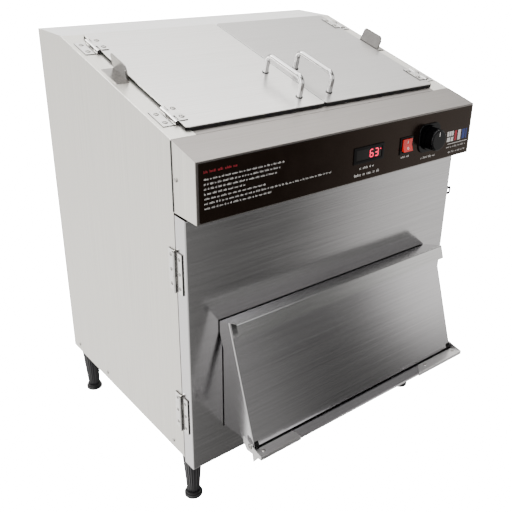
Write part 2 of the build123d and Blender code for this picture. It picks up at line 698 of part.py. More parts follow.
def fan_rotor():
    """Hub with seven pitched blades."""
    y0, y1 = FAN_Y - FAN_DEPTH / 2 + 3, FAN_Y + FAN_DEPTH / 2 - 8
    rotor = rod(19, (0, y0, 0), (0, y1, 0))
    middle = (y0 + y1) / 2
    blade = Location((35, middle, 0), (38, 0, 0)) * Box(38, 26, 1.8)
    for index in range(7):
        rotor += Location((0, 0, 0), (0, 360 * index / 7, 0)) * blade
    rotor &= rod(54, (0, y0, 0), (0, y1, 0))
    return Location((0, 0, FAN_Z)) * (rotor - rod(2.55, (0, y0 + 2, 0), (0, y1 + 1, 0)))


def heater_element():
    """Sheathed heating element, bent to and fro in one plane."""
    points = [(-90, 305), (-90, 190), (-30, 190), (-30, 290), (30, 290), (30, 190), (90, 190), (90, 305)]
    path = FilletPolyline(*[(x, y, ELEMENT_Z) for x, y in points], radius=22)
    return sweep(Plane(origin=path @ 0, z_dir=path % 0) * Circle(ELEMENT_R), path=path)


def heater_brackets():
    """Two angles that carry the element."""
    top = ELEMENT_Z - ELEMENT_R - 0.1
    floor = 2 * SHEET + GAP
    angles = []
    for y in (215, 275):
        angle = block(-104, 104, y, y + SHEET, floor, top)
        angle += block(-104, 104, y, y + 16, floor, floor + SHEET)
        angles.append(angle - block(-75, 75, y - 1, y + SHEET + 1, floor + 14, top - 12))
    return angles


def terminal_block():
    """Screw terminals for the supply."""
    floor = 2 * SHEET + GAP
    strip = block(140, 200, 395, 415, floor, floor + 12)
    for index in range(5):
        x = 146 + 12 * index
        strip += block(x - 4.5, x + 4.5, 398, 412, floor + 12, floor + 18)
    return strip


def cord_gland():
    """Cord gland with its lock nut; no cord is fitted."""
    z, x = 48, -230
    body = rod(8, (x, DEPTH - SHEET - 8, z), (x, DEPTH, z))
    flats = Location((x, DEPTH + 4, z), (90, 0, 0)) * extrude(RegularPolygon(11, 6), amount=4, both=True)
    body += flats + rod(9, (x, DEPTH + 8, z), (x, DEPTH + GLAND_OUT, z))
    nut = Location((x, DEPTH - SHEET - 2.2, z), (90, 0, 0)) * extrude(RegularPolygon(11, 6), amount=2, both=True)
    bore = rod(4.5, (x, DEPTH - 30, z), (x, DEPTH + 40, z))
    return body - bore, nut - rod(8.02, (x, DEPTH - 30, z), (x, DEPTH + 40, z))


def magnetic_catch():
    """Magnetic catch behind the front frame's right upright."""
    return block(268, 280, 2 * SHEET + GAP, 22, 250, 300)


def catch_plate():
    """Strike plate for the magnetic catch, on the door's back."""
    return block(266, 282, DOOR_BACK, DOOR_BACK + 1.5, 245, 305)


# ---- Fasteners and legs ----
def round_head(radius, height, at, direction):
    """A domed rivet or screw head standing on a face."""
    head = extrude(Circle(radius), amount=height)
    head = fillet(head.faces().sort_by(Axis.Z)[-1].edges(), height * 0.6)
    return Plane(origin=at, z_dir=direction).location * head


def cabinet_screws():
    """Rivets along the side panels, control box screws and service cover screws."""
    heads = []
    for side in (-1, 1):
        out = (side, 0, 0)
        for y in (35, 292, 421):
            heads.append(round_head(3.2, 1.3, (side * HALF, y, 15), out))
        heads.append(round_head(3.6, 1.6, (side * HALF, -11, 519), out))
        for z in (44, 95, 146):
            heads.append(round_head(3.4, 1.6, (side * 115, DEPTH + COVER, z), (0, 1, 0)))
    return heads


def leg():
    """Ribbed, tapering leg with the threaded hole for its foot."""
    bottom = FOOT_HEIGHT + 0.5 - LEG_HEIGHT
    rings = []
    for z, radius in ((bottom, LEG_BOTTOM_R), (-0.1, LEG_TOP_R)):
        points = []
        for index in range(2 * LEG_RIBS):
            r = radius - RIB_DEPTH * (index % 2)
            angle = pi * index / LEG_RIBS
            points.append((r * cos(angle), r * sin(angle), z))
        rings.append(make_face(Polyline(*points, close=True)))
    return loft(rings, ruled=True) - rod(STUD_FREE, (0, 0, bottom - 1), (0, 0, bottom + 40))


def foot():
    """Screw-in levelling foot."""
    floor = -LEG_HEIGHT
    disc = rod(FOOT_R, (0, 0, floor), (0, 0, floor + 6.5))
    disc = fillet(disc.edges(), 1.5)
    disc += rod(FOOT_R - 2.6, (0, 0, floor + 5), (0, 0, floor + FOOT_HEIGHT))
    return disc + rod(STUD_R, (0, 0, floor + 5), (0, 0, floor + 45))


def leg_places():
    """Name and place of each leg."""
    x = HALF - LEG_INSET_X
    return {
        "front_left": Location((-x, LEG_FRONT_Y, 0)),
        "front_right": Location((x, LEG_FRONT_Y, 0)),
        "rear_left": Location((-x, LEG_REAR_Y, 0)),
        "rear_right": Location((x, LEG_REAR_Y, 0)),
    }


# ---- Assembly ----
def save_casing():
    """Everything that is fixed to the cabinet's sheet metal."""
    left = side_panel()
    save("side_panel_left", left)
    save("side_panel_right", swap_sides(left))
    save("rear_panel", rear_panel())
    save("rear_service_cover", rear_service_cover())
    save("base_pan", base_pan())
    save("front_frame", front_frame())
    save("top_front_strip", top_front_strip())
    save("top_rear_strip", top_rear_strip())
    save("centre_rail", centre_rail())
    save("hopper_wall_left", hopper_wall())
    save("hopper_wall_right", swap_sides(hopper_wall()))
    save("hopper_rear_wall", hopper_rear_wall())
    save("hopper_ramp", hopper_ramp())
    save("insulation_slabs", *insulation_slabs())
    save("magnetic_catch", magnetic_catch())
    save("cabinet_screws", *cabinet_screws())
    save("cord_gland", *cord_gland())
    save("legs", *[place * leg() for place in leg_places().values()])
    for name, place in leg_places().items():
        save(f"foot_{name}", place * foot())


def save_lids():
    """Both lids, their hinges, stops and handles."""
    fixed = [lid_hinge_fixed(start) for start in LID_HINGE_STARTS]
    moving = [lid_hinge_moving(start) for start in LID_HINGE_STARTS]
    pins = [lid_hinge_pin(start) for start in LID_HINGE_STARTS]
    save("lid_hinge_fixed_leaves", *fixed, *map(swap_sides, fixed))
    save("lid_hinge_pins", *pins, *map(swap_sides, pins))
    save("lid_stops", lid_stop(), swap_sides(lid_stop()))
    save("lid_panel_left", lid_panel())
    save("lid_handle_left", lid_handle())
    save("lid_hinge_leaves_left", *moving)
    save("lid_panel_right", swap_sides(lid_panel()))
    save("lid_handle_right", swap_sides(lid_handle()))
    save("lid_hinge_leaves_right", *map(swap_sides, moving))


def save_door():
    """The door, its chute and the tilt-out panel."""
    save("door_hinge_body_leaves", *[door_hinge_leaf(start, 1) for start in DOOR_HINGE_STARTS])
    save("door_hinge_door_leaves", *[door_hinge_leaf(start, -1) for start in DOOR_HINGE_STARTS])
    save("door_hinge_pins", *[door_hinge_pin(start) for start in DOOR_HINGE_STARTS])
    save("door_outer_skin", door_outer_skin())
    save("door_inner_liner", door_inner_liner())
    save("door_gasket", door_gasket())
    save("door_pull_tab", door_pull_tab())
    save("catch_plate", catch_plate())
    save("chute_cheeks", chute_cheek(), swap_sides(chute_cheek()))
    save("chute_floor", chute_floor())
    right = swap_sides(chute_bracket(BRACKET_RIGHT, 20))
    save("chute_brackets", chute_bracket(BRACKET_LEFT, 1), right)
    save("access_panel", access_panel())
    save("access_panel_pull", access_panel_pull())


def save_controls():
    """The control box, its switch, thermostat and display, and the heating parts."""
    save("control_box_shell", control_box_shell())
    save("control_overlay", control_overlay())
    save("display_bezel", display_bezel())
    save("display_window", display_window())
    save("display_board", display_board())
    save("switch_housing", switch_housing())
    save("power_rocker", power_rocker())
    save("thermostat_dial_plate", thermostat_dial_plate())
    save("thermostat_body", *thermostat_body())
    save("thermostat_knob", thermostat_knob())
    save("fan_frame", fan_frame())
    save("fan_rotor", fan_rotor())
    save("heater_element", heater_element())
    save("heater_brackets", *heater_brackets())
    save("terminal_block", terminal_block())


def main():
    """Build and write every node."""
    os.makedirs("parts", exist_ok=True)
    save_casing()
    save_lids()
    save_door()
    save_controls()


if __name__ == "__main__":
    main()
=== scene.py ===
"""Looks of a heated food holding cabinet: brushed sheet steel, two lids, a door with a tilt-out chute panel."""

import logging
import math
import random
from dataclasses import dataclass
from enum import Enum
from typing import Any, Callable, Iterable, Sequence

import bpy
from bpy.types import Material, Node, NodeSocket, NodeTree, Object
from mathutils import Matrix, Vector


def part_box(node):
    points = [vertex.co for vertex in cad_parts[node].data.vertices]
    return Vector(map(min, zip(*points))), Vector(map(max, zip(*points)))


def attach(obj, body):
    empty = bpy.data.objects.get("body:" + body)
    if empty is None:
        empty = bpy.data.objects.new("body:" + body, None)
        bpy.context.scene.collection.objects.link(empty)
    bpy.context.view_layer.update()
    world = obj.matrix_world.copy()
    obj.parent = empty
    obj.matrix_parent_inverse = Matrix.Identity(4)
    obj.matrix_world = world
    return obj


logging.basicConfig(level=logging.INFO, format="%(name)s: %(message)s")
LOG = logging.getLogger("cabinet")

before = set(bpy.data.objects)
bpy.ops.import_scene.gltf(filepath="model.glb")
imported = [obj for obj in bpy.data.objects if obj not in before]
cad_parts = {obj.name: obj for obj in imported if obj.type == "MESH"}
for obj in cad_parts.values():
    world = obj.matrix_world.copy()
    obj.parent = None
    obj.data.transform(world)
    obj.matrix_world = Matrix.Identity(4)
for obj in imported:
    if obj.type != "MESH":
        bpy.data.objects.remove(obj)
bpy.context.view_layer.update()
MM = 0.001
Tile = tuple[Vector, float, float, float]  # centre, width and height in millimetres, lean in degrees
Screw = tuple[Vector, Vector]  # point and facing direction


class Body(Enum):
    """Moving and fixed groups of the cabinet that pieces ride on."""

    CABINET = "cabinet"
    LEFT_LID = "left_lid"
    RIGHT_LID = "right_lid"
    DOOR = "door"
    PANEL = "tilt_panel"
    KNOB = "knob"
    ROCKER = "rocker"


class Grain(Enum):
    """Direction in which a sheet was brushed."""

    ACROSS = "x"
    DEEP = "y"
    UPRIGHT = "z"


# ---- Materials ----
def linear(code: str) -> tuple[float, float, float, float]:
    """Turn an sRGB hex colour into linear light.

    Args:
        code: Six hex digits.

    Returns:
        Red, green, blue and an alpha of one.
    """
    parts = [int(code[i : i + 2], 16) / 255 for i in (0, 2, 4)]
    light = [c / 12.92 if c <= 0.04045 else ((c + 0.055) / 1.055) ** 2.4 for c in parts]
    return light[0], light[1], light[2], 1.0


def add_node(
    tree: NodeTree,
    kind: str,
    settings: dict[str, Any] | None = None,
    values: dict[Any, Any] | None = None,
    links: dict[Any, Any] | None = None,
    stops: Iterable[tuple[float, Sequence[float]]] = (),
) -> Node:
    """Add a node with its settings, its input values and its links.

    Args:
        tree: The tree that gets the node.
        kind: The node's type name.
        settings: Attributes to set on the node.
        values: Input socket, by name or number, to value.
        links: Input socket, by name or number, to the output socket that feeds it.
        stops: The two positions and colours of a colour ramp.

    Returns:
        The new node.
    """
    node = tree.nodes.new(kind)
    for name, value in (settings or {}).items():
        setattr(node, name, value)
    for key, value in (values or {}).items():
        node.inputs[key].default_value = value
    for key, socket in (links or {}).items():
        tree.links.new(socket, node.inputs[key])
    for number, (position, colour) in enumerate(stops):
        element = node.color_ramp.elements[number]
        element.position, element.color = position, colour
    return node


def new_material(name: str, values: dict[str, Any]) -> tuple[Material, NodeTree, Node]:
    """Start a node material.

    Args:
        name: The material's name.
        values: Shader input name to value.

    Returns:
        The material, its tree and its Principled shader.
    """
    material = bpy.data.materials.new(name)
    material.use_nodes = True
    tree = material.node_tree
    shader = tree.nodes["Principled BSDF"]
    for key, value in values.items():
        shader.inputs[key].default_value = value
    return material, tree, shader


def shade(colour: Sequence[float], factor: float) -> tuple[float, ...]:
    """A linear colour times a factor, kept within one.

    Args:
        colour: Red, green, blue and alpha.
        factor: What the first three are multiplied by.

    Returns:
        The new colour with an alpha of one.
    """
    return tuple(min(1.0, c * factor) for c in colour[:3]) + (1.0,)


@dataclass(frozen=True)
class Pattern:
    """A noise laid over an object: repeats per metre on each axis, detail, roughness and its pull on the gloss."""

    scale: tuple[float, ...]
    detail: float
    rough: float
    swing: float


def make_surface(
    name: str,
    values: dict[str, Any],
    patterns: Sequence[Pattern],
    tint: tuple[int, float, Sequence[float], Sequence[float]],
    lowest: float,
    relief: tuple[float, float],
) -> Material:
    """Make a material whose colour, gloss and relief follow noise patterns.

    Args:
        name: The material's name.
        values: Shader input name to value.
        patterns: The noises; the first one stands out as relief.
        tint: Which pattern colours the surface, where its ramp starts, and the low and high colours.
        lowest: Roughness before the patterns add theirs.
        relief: Strength, and depth in metres.

    Returns:
        The material.
    """
    material, tree, shader = new_material(name, values)
    place = add_node(tree, "ShaderNodeTexCoord").outputs["Object"]
    noises: list[NodeSocket] = []
    below: dict[int, NodeSocket] = {}
    for pattern in patterns:
        stretched = add_node(tree, "ShaderNodeMapping", values={"Scale": pattern.scale}, links={"Vector": place})
        grain = {"Scale": 1.0, "Detail": pattern.detail, "Roughness": pattern.rough}
        noise = add_node(tree, "ShaderNodeTexNoise", values=grain, links={"Vector": stretched.outputs[0]})
        noises.append(noise.outputs["Fac"])
        links = {0: noises[-1], **below}
        level = add_node(
            tree, "ShaderNodeMath", {"operation": "MULTIPLY_ADD"}, {1: pattern.swing, 2: lowest}, links
        )
        below = {2: level.outputs[0]}
    chosen, start, low, high = tint
    colour = add_node(
        tree, "ShaderNodeValToRGB", links={0: noises[chosen]}, stops=((start, low), (1 - start, high))
    )
    strength, depth = relief
    bumped = add_node(
        tree, "ShaderNodeBump", values={"Strength": strength, "Distance": depth}, links={"Height": noises[0]}
    )
    for key, node in (("Base Color", colour), ("Roughness", level), ("Normal", bumped)):
        tree.links.new(node.outputs[0], shader.inputs[key])
    return material


@dataclass(frozen=True)
class BrushedSteel:
    """Stainless sheet brushed with a belt: long fine scratches that smear reflections across the grain."""

    name: str
    colour: str
    grain: Grain = Grain.ACROSS
    roughness: float = 0.27
    spread: float = 0.10
    streak_mm: float = 1.1  # real scratches are about 0.1 mm apart, too fine to show
    length_mm: float = 160.0
    bump: float = 0.16
    smudge: float = 0.05

    def make(self) -> Material:
        """Build the material."""
        fine, long = 1 / (self.streak_mm * MM), 1 / (self.length_mm * MM)
        scratches = Pattern(tuple(long if g is self.grain else fine for g in Grain), 3.0, 0.65, self.spread)
        smudges = Pattern((5.5,) * 3, 3.0, 0.55, self.smudge)
        base = linear(self.colour)
        tint = (0, 0.28, shade(base, 0.86), shade(base, 1.07))
        lowest = self.roughness - self.spread / 2
        return make_surface(self.name, {"Metallic": 1.0}, (scratches, smudges), tint, lowest, (self.bump, 0.4 * MM))


@dataclass(frozen=True)
class PlainMetal:
    """Sheet or tube without grain: cloudy gloss from handling and tumbling."""

    name: str
    colour: str
    roughness: float
    mottle_mm: float = 14.0
    contrast: float = 0.12
    bump: float = 0.05

    def make(self) -> Material:
        """Build the material."""
        clouds = Pattern((1 / (self.mottle_mm * MM),) * 3, 4.0, 0.6, 0.12)
        base = linear(self.colour)
        tint = (0, 0.3, shade(base, 1 - self.contrast), base)
        lowest = self.roughness - clouds.swing / 2
        return make_surface(self.name, {"Metallic": 1.0}, (clouds,), tint, lowest, (self.bump, 0.3 * MM))


@dataclass(frozen=True)
class Moulded:
    """Injection-moulded plastic or rubber: even colour, a spark-eroded grain and slight gloss changes."""

    name: str
    colour: str
    roughness: float
    grain_mm: float = 0.9
    bump: float = 0.12
    coat: float = 0.0
    glow: float = 0.0
    contrast: float = 0.25
    shine: float = 0.5
    sheen: str = "FFFFFF"

    def make(self) -> Material:
        """Build the material."""
        grain = Pattern((1 / (self.grain_mm * MM),) * 3, 2.0, 0.5, 0.0)
        clouds = Pattern((40.0,) * 3, 3.0, 0.6, 0.14)
        base = linear(self.colour)
        values = {
            "IOR": 1.49,
            "Specular IOR Level": self.shine,
            "Specular Tint": linear(self.sheen),
            "Coat Weight": self.coat,
            "Coat Roughness": 0.06,
            "Emission Color": base,
            "Emission Strength": self.glow,
        }
        tint = (1, 0.3, shade(base, 1 - self.contrast), base)
        lowest = self.roughness - clouds.swing / 2
        return make_surface(self.name, values, (grain, clouds), tint, lowest, (self.bump, 0.2 * MM))


@dataclass(frozen=True)
class Finishes:
    """Every finish on the cabinet, named for what it is."""

    # Warm silver sheet with faint upright scratches; the least polished face.
    side: BrushedSteel = BrushedSteel(
        "brushed stainless side sheet", "DCDAD4", Grain.UPRIGHT, 0.34, 0.10, bump=0.08, length_mm=260.0
    )
    # The same sheet brushed across, on the lids and top: a soft pale sheen.
    top: BrushedSteel = BrushedSteel("brushed stainless top sheet", "E2E1DF", Grain.ACROSS, 0.27, 0.08, bump=0.07)
    # Door sheet, brushed across: it pulls what it mirrors into level smears.
    door: BrushedSteel = BrushedSteel("brushed stainless door sheet", "CDCCCD", Grain.ACROSS, 0.17, 0.06, bump=0.035)
    # Chute and tilt-out panel, a little glossier than the door.
    chute: BrushedSteel = BrushedSteel(
        "brushed stainless chute sheet", "CBCACC", Grain.ACROSS, 0.13, 0.05, bump=0.03, length_mm=220.0
    )
    # Pull channel: satin, paler than the panel under it.
    pull: BrushedSteel = BrushedSteel("satin stainless pull", "CBCBCB", Grain.ACROSS, 0.15, 0.04, bump=0.03)
    # The right lid's sheet is painted darker than the left's, a painted shade.
    right_lid: BrushedSteel = BrushedSteel(
        "brushed stainless right lid, painted shade", "BDBCBB", Grain.ACROSS, 0.27, 0.08, bump=0.07
    )
    # Rear edge of the top, also on the sides' level rear flanges: matt, the palest face, painted paler as painted light
    # where the sheet looks up.
    painted_light_top: BrushedSteel = BrushedSteel("stainless rear edge, painted light", "FAFAF9", Grain.ACROSS, 0.55, 0.06, bump=0.05)
    # Corner brackets: softer and paler than the chute under them.
    bracket: BrushedSteel = BrushedSteel("brushed stainless brackets", "C8C7C7", Grain.ACROSS, 0.30, 0.10, bump=0.1)
    # Control box and the top's front strip: the darkest steel on the cabinet, the same stainless painted darker, a
    # painted shade.
    box: BrushedSteel = BrushedSteel("brushed stainless control box, painted shade", "8A8683", Grain.ACROSS, 0.27, 0.06, bump=0.05)
    liner: BrushedSteel = BrushedSteel("plain stainless liner", "B9B8B6", Grain.UPRIGHT, 0.32, 0.08, bump=0.08)
    # Tumbled hinge leaves look whiter and cloudier than the sheet.
    hinge: PlainMetal = PlainMetal("tumbled stainless hinge steel", "EAE9E7", 0.22, 9.0, 0.22, 0.10)
    # Edges of the thick leaves are painted dull and dark beside their polished faces, a painted shade that outlines
    # them.
    cut: PlainMetal = PlainMetal("hinge leaf edge in painted shade", "4E4C4B", 0.5, 3.0, 0.2, 0.2)
    # Lid stops are dull and painted darker than the top they stand on, a painted shade.
    stop: PlainMetal = PlainMetal("stainless lid stop, painted shade", "93918F", 0.24, 12.0, 0.15, 0.06)
    handle: PlainMetal = PlainMetal("polished stainless tube", "CFCECE", 0.07, 30.0, 0.06, 0.02)
    screw: PlainMetal = PlainMetal("nickel plated screws", "A9A7A3", 0.24, 3.0)
    # Black in painted shade: the crosses on the screw heads, the rings under them, the strips under the lids' edges and
    # the bar in the gap beside the control box; also the fillers at the chute's ends.
    painted_shade: Moulded = Moulded("painted shade black", "141414", 0.7)
    galvanised: PlainMetal = PlainMetal("galvanised steel with spangle", "B4BABD", 0.42, 9.0, 0.28)
    sheath: PlainMetal = PlainMetal("heat-blued element sheath", "4A4440", 0.45, 18.0, 0.4)
    # Satin film over black print: a soft brown sheen, never mirror black.
    film: Moulded = Moulded(
        "satin polycarbonate overlay film", "110B08", 0.20, 0.5, 0.02, contrast=0.10, shine=0.30, sheen="FFD3B4"
    )
    black: Moulded = Moulded("black nylon moulding", "0E0D0E", 0.40, shine=0.35)
    leg: Moulded = Moulded("black polypropylene leg", "1D1D20", 0.36, 1.2, 0.10)
    gloss: Moulded = Moulded("polished black phenolic knob", "050506", 0.10, 0.8, 0.01, shine=0.18)
    rubber: Moulded = Moulded("hard black rubber foot", "1A1A1C", 0.5)
    silicone: Moulded = Moulded("red silicone seal", "8C3A2C", 0.5)
    window: Moulded = Moulded("smoked acrylic window", "0F0C09", 0.10, 1.5, 0.01, shine=0.35)
    rocker: Moulded = Moulded("lit red polycarbonate rocker", "C4160F", 0.20, 1.5, 0.02, coat=0.3, glow=0.22)
    board: Moulded = Moulded("green circuit board", "1E5A34", 0.35)
    wool: Moulded = Moulded("mineral wool", "B7A874", 0.95, 2.5, 0.9)
    digit: Moulded = Moulded("red display segment", "FF0C4E", 0.4, glow=2.6, contrast=0.02)
    white_ink: Moulded = Moulded("white screen-print ink", "E9E7E4", 0.45, contrast=0.05)
    red_ink: Moulded = Moulded("red screen-print ink", "A81C30", 0.45, contrast=0.05)
    blue_ink: Moulded = Moulded("blue screen-print ink", "24367E", 0.45, contrast=0.05)


NODES_OF_FINISH: dict[str, str] = {
    "side": "side_panel_left side_panel_right rear_panel rear_service_cover",
    "top": "lid_panel_left",
    "right_lid": "lid_panel_right",
    "painted_light_top": "top_rear_strip",
    "box": "control_box_shell top_front_strip",
    "door": "door_outer_skin",
    "chute": "chute_cheeks chute_floor access_panel",
    "pull": "access_panel_pull",
    "bracket": "chute_brackets",
    "liner": "door_inner_liner hopper_wall_left hopper_wall_right hopper_rear_wall hopper_ramp centre_rail",
    "hinge": "lid_hinge_fixed_leaves lid_hinge_leaves_left lid_hinge_leaves_right door_hinge_body_leaves"
    " door_hinge_door_leaves door_hinge_pins catch_plate",
    "stop": "lid_stops",
    "screw": "cabinet_screws lid_hinge_pins",
    "handle": "lid_handle_left lid_handle_right",
    "galvanised": "front_frame base_pan heater_brackets thermostat_body",
    "sheath": "heater_element",
    "film": "control_overlay",
    "black": "magnetic_catch door_pull_tab cord_gland fan_frame fan_rotor terminal_block",
    "gloss": "thermostat_knob thermostat_dial_plate display_bezel switch_housing",
    "window": "display_window",
    "board": "display_board",
    "rocker": "power_rocker",
    "silicone": "door_gasket",
    "wool": "insulation_slabs",
    "leg": "legs",
    "rubber": "foot_front_left foot_front_right foot_rear_left foot_rear_right",
}


class Palette:
    """Makes each finish once and dresses the frame's nodes."""

    def __init__(self, finishes: Finishes) -> None:
        """Keep the finishes; materials are made when first asked for.

        Args:
            finishes: Every finish.
        """
        self.finishes = finishes
        self.made: dict[str, Material] = {}

    def get(self, name: str) -> Material:
        """The material of a finish.

        Args:
            name: The finish's field name.

        Returns:
            Its material, made on the first call.
        """
        if name not in self.made:
            self.made[name] = getattr(self.finishes, name).make()
        return self.made[name]

    def dress_nodes(self) -> None:
        """Give every node its own finish."""
        for finish, nodes in NODES_OF_FINISH.items():
            for node in nodes.split():
                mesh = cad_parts[node].data
                mesh.materials.clear()
                mesh.materials.append(self.get(finish))
                for polygon in mesh.polygons:
                    polygon.material_index = 0
            LOG.info("%s: %s", finish, nodes)

    def dress_facing(self, node: str, finish: str, facing: Callable[[Vector], bool]) -> None:
        """Give a second finish to the faces of a node that point a certain way.

        Args:
            node: The node's name.
            finish: The second finish's field name.
            facing: Says of a face's normal whether the face gets it.
        """
        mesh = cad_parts[node].data
        mesh.materials.append(self.get(finish))
        for polygon in mesh.polygons:
            if facing(polygon.normal):
                polygon.material_index = 1

    def dress_faces(self, out: Vector) -> None:
        """Second finishes by facing: the control box's ends get the paler side sheet beside its painted shade, the
        sides' level rear flanges get the painted light of the rear top, and the hinge leaves' edges get the painted
        dark edge.

        Args:
            out: The direction square to the sloping top.
        """
        # Painted shade on the box's front and top; its ends that face sideways keep the paler side sheet.
        self.dress_facing("control_box_shell", "side", lambda normal: abs(normal.x) > 0.9)
        for node in ("side_panel_left", "side_panel_right"):
            # Painted light: faces that look up get the paler rear-top copy of the sheet.
            self.dress_facing(node, "painted_light_top", lambda normal: normal.z > 0.985)
        # Painted shade: the edges of the lid and door hinge leaves get the dark finish that outlines them.
        for node in ("lid_hinge_fixed_leaves", "lid_hinge_leaves_left", "lid_hinge_leaves_right"):
            self.dress_facing(node, "cut", lambda normal: abs(normal.dot(out)) < 0.3)
        for node in ("door_hinge_body_leaves", "door_hinge_door_leaves"):
            self.dress_facing(node, "cut", lambda normal: abs(normal.x) < 0.3)


# ---- Places ----
@dataclass(frozen=True)
class Datum:
    """The cabinet's own datum: centre line, front edge of the side panels, underside. Sizes in millimetres."""

    width: float = 610.0
    front_top: float = 576.5
    rise: float = 91.5
    run: float = 352.0

    def at(self, x: float, y: float, z: float) -> Vector:
        """A point in metres.

        Args:
            x: Across from the centre line.
            y: Back from the side panels' front edge.
            z: Up from the cabinet's underside.

        Returns:
            The point in the shared frame.
        """
        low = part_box("side_panel_left")[0]
        return low + Vector((x + self.width / 2, y, z)) * MM

    def slope_axes(self) -> tuple[Vector, Vector]:
        """The directions up the sloping top and square to it."""
        along = Vector((0, self.run, self.rise)).normalized()
        return along, Vector((0, -along.z, along.y))

    def on_slope(self, x: float, s: float, h: float) -> Vector:
        """A point on the sloping top.

        Args:
            x: Across from the centre line.
            s: Up the slope from its front edge.
            h: Above the slope's plane.

        Returns:
            The point in metres.
        """
        along, out = self.slope_axes()
        return self.at(x, 0, self.front_top) + (along * s + out * h) * MM


DATUM = Datum()
FRONT = Vector((0, -1, 0))
LEFT = Vector((-1, 0, 0))
RIGHT = Vector((1, 0, 0))


# ---- Geometry Nodes ----
def new_object(name: str, data: Any) -> Object:
    """Make an object and link it to the scene.

    Args:
        name: The object's name.
        data: Its mesh, light or camera.

    Returns:
        The object.
    """
    obj = bpy.data.objects.new(name, data)
    bpy.context.scene.collection.objects.link(obj)
    return obj


def point_cloud(name: str, places: Sequence[Vector], vectors: dict[str, Sequence[Sequence[float]]]) -> Object:
    """A mesh of loose points that carries vector attributes.

    Args:
        name: The object's name.
        places: The points, in metres.
        vectors: Attribute name to one vector for each point.

    Returns:
        The object, linked to the scene.
    """
    mesh = bpy.data.meshes.new(name)
    mesh.from_pydata([tuple(p) for p in places], [], [])
    for key, rows in vectors.items():
        attribute = mesh.attributes.new(key, "FLOAT_VECTOR", "POINT")
        attribute.data.foreach_set("vector", [c for row in rows for c in row])
    return new_object(name, mesh)


def start_tree(
    name: str, sizes: dict[str, float], carried: Sequence[str] = ()
) -> tuple[NodeTree, dict[str, NodeSocket]]:
    """Start a geometry tree with named size inputs.

    Args:
        name: The tree's name.
        sizes: Input name to its value in metres.
        carried: Names of the vectors that the points carry.

    Returns:
        The tree, and by name its geometry, its sizes and the carried vectors.
    """
    tree = bpy.data.node_groups.new(name, "GeometryNodeTree")
    tree.interface.new_socket("Geometry", in_out="INPUT", socket_type="NodeSocketGeometry")
    for key, value in sizes.items():
        socket = tree.interface.new_socket(key, in_out="INPUT", socket_type="NodeSocketFloat")
        socket.default_value = value
    tree.interface.new_socket("Geometry", in_out="OUTPUT", socket_type="NodeSocketGeometry")
    given = {socket.name: socket for socket in tree.nodes.new("NodeGroupInput").outputs if socket.name}
    for key in carried:
        vector = add_node(tree, "GeometryNodeInputNamedAttribute", {"data_type": "FLOAT_VECTOR"}, {"Name": key})
        given[key] = vector.outputs[0]
    return tree, given


def end_tree(
    tree: NodeTree,
    points: NodeSocket,
    piece: NodeSocket,
    finish: Material | None = None,
    more: dict[str, NodeSocket] | None = None,
) -> None:
    """Finish a tree: the piece on every point, made real and dressed.

    Args:
        tree: The tree.
        points: Where the pieces stand.
        piece: The mesh that is repeated.
        finish: Its material, where it hasn't got its own already.
        more: Sockets for the pieces' rotation and scale.
    """
    links = {"Points": points, "Instance": piece, **(more or {})}
    placed = add_node(tree, "GeometryNodeInstanceOnPoints", links=links).outputs[0]
    last = add_node(tree, "GeometryNodeRealizeInstances", links={"Geometry": placed}).outputs[0]
    if finish:
        values, links = {"Material": finish}, {"Geometry": last}
        last = add_node(tree, "GeometryNodeSetMaterial", values=values, links=links).outputs[0]
    add_node(tree, "NodeGroupOutput", links={0: last})


def disc_tree(palette: Palette, name: str, finish: str) -> NodeTree:
    """Build a tree that sets one flat disc on every point, square to the direction the point carries.

    Args:
        palette: Where the finish comes from.
        name: The tree's name.
        finish: The disc's finish name.

    Returns:
        The finished tree.
    """
    tree, given = start_tree(name, {"Radius": 0.006, "Height": 0.0008}, ("facing",))
    links = {"Radius": given["Radius"], "Depth": given["Height"]}
    disc = add_node(tree, "GeometryNodeMeshCylinder", values={"Vertices": 32}, links=links)
    aim = add_node(tree, "FunctionNodeAlignRotationToVector", {"axis": "Z"}, links={"Vector": given["facing"]})
    end_tree(tree, given["Geometry"], disc.outputs["Mesh"], palette.get(finish), {"Rotation": aim.outputs[0]})
    return tree


def bake_tree(obj: Object, tree: NodeTree, sizes: dict[str, float]) -> Object:
    """Run a geometry tree on an object and keep the result as a plain mesh.

    Args:
        obj: The object that carries the points.
        tree: The finished tree.
        sizes: Input name to its value.

    Returns:
        The same object with the plain mesh and no modifier.
    """
    modifier = obj.modifiers.new("tree", "NODES")
    modifier.node_group = tree
    for item in tree.interface.items_tree:
        if item.item_type == "SOCKET" and item.in_out == "INPUT" and item.name in sizes:
            modifier[item.identifier] = sizes[item.name]
    bpy.context.view_layer.update()
    evaluated = obj.evaluated_get(bpy.context.evaluated_depsgraph_get())
    mesh = bpy.data.meshes.new_from_object(evaluated)
    obj.modifiers.remove(modifier)
    obj.data = mesh
    return obj


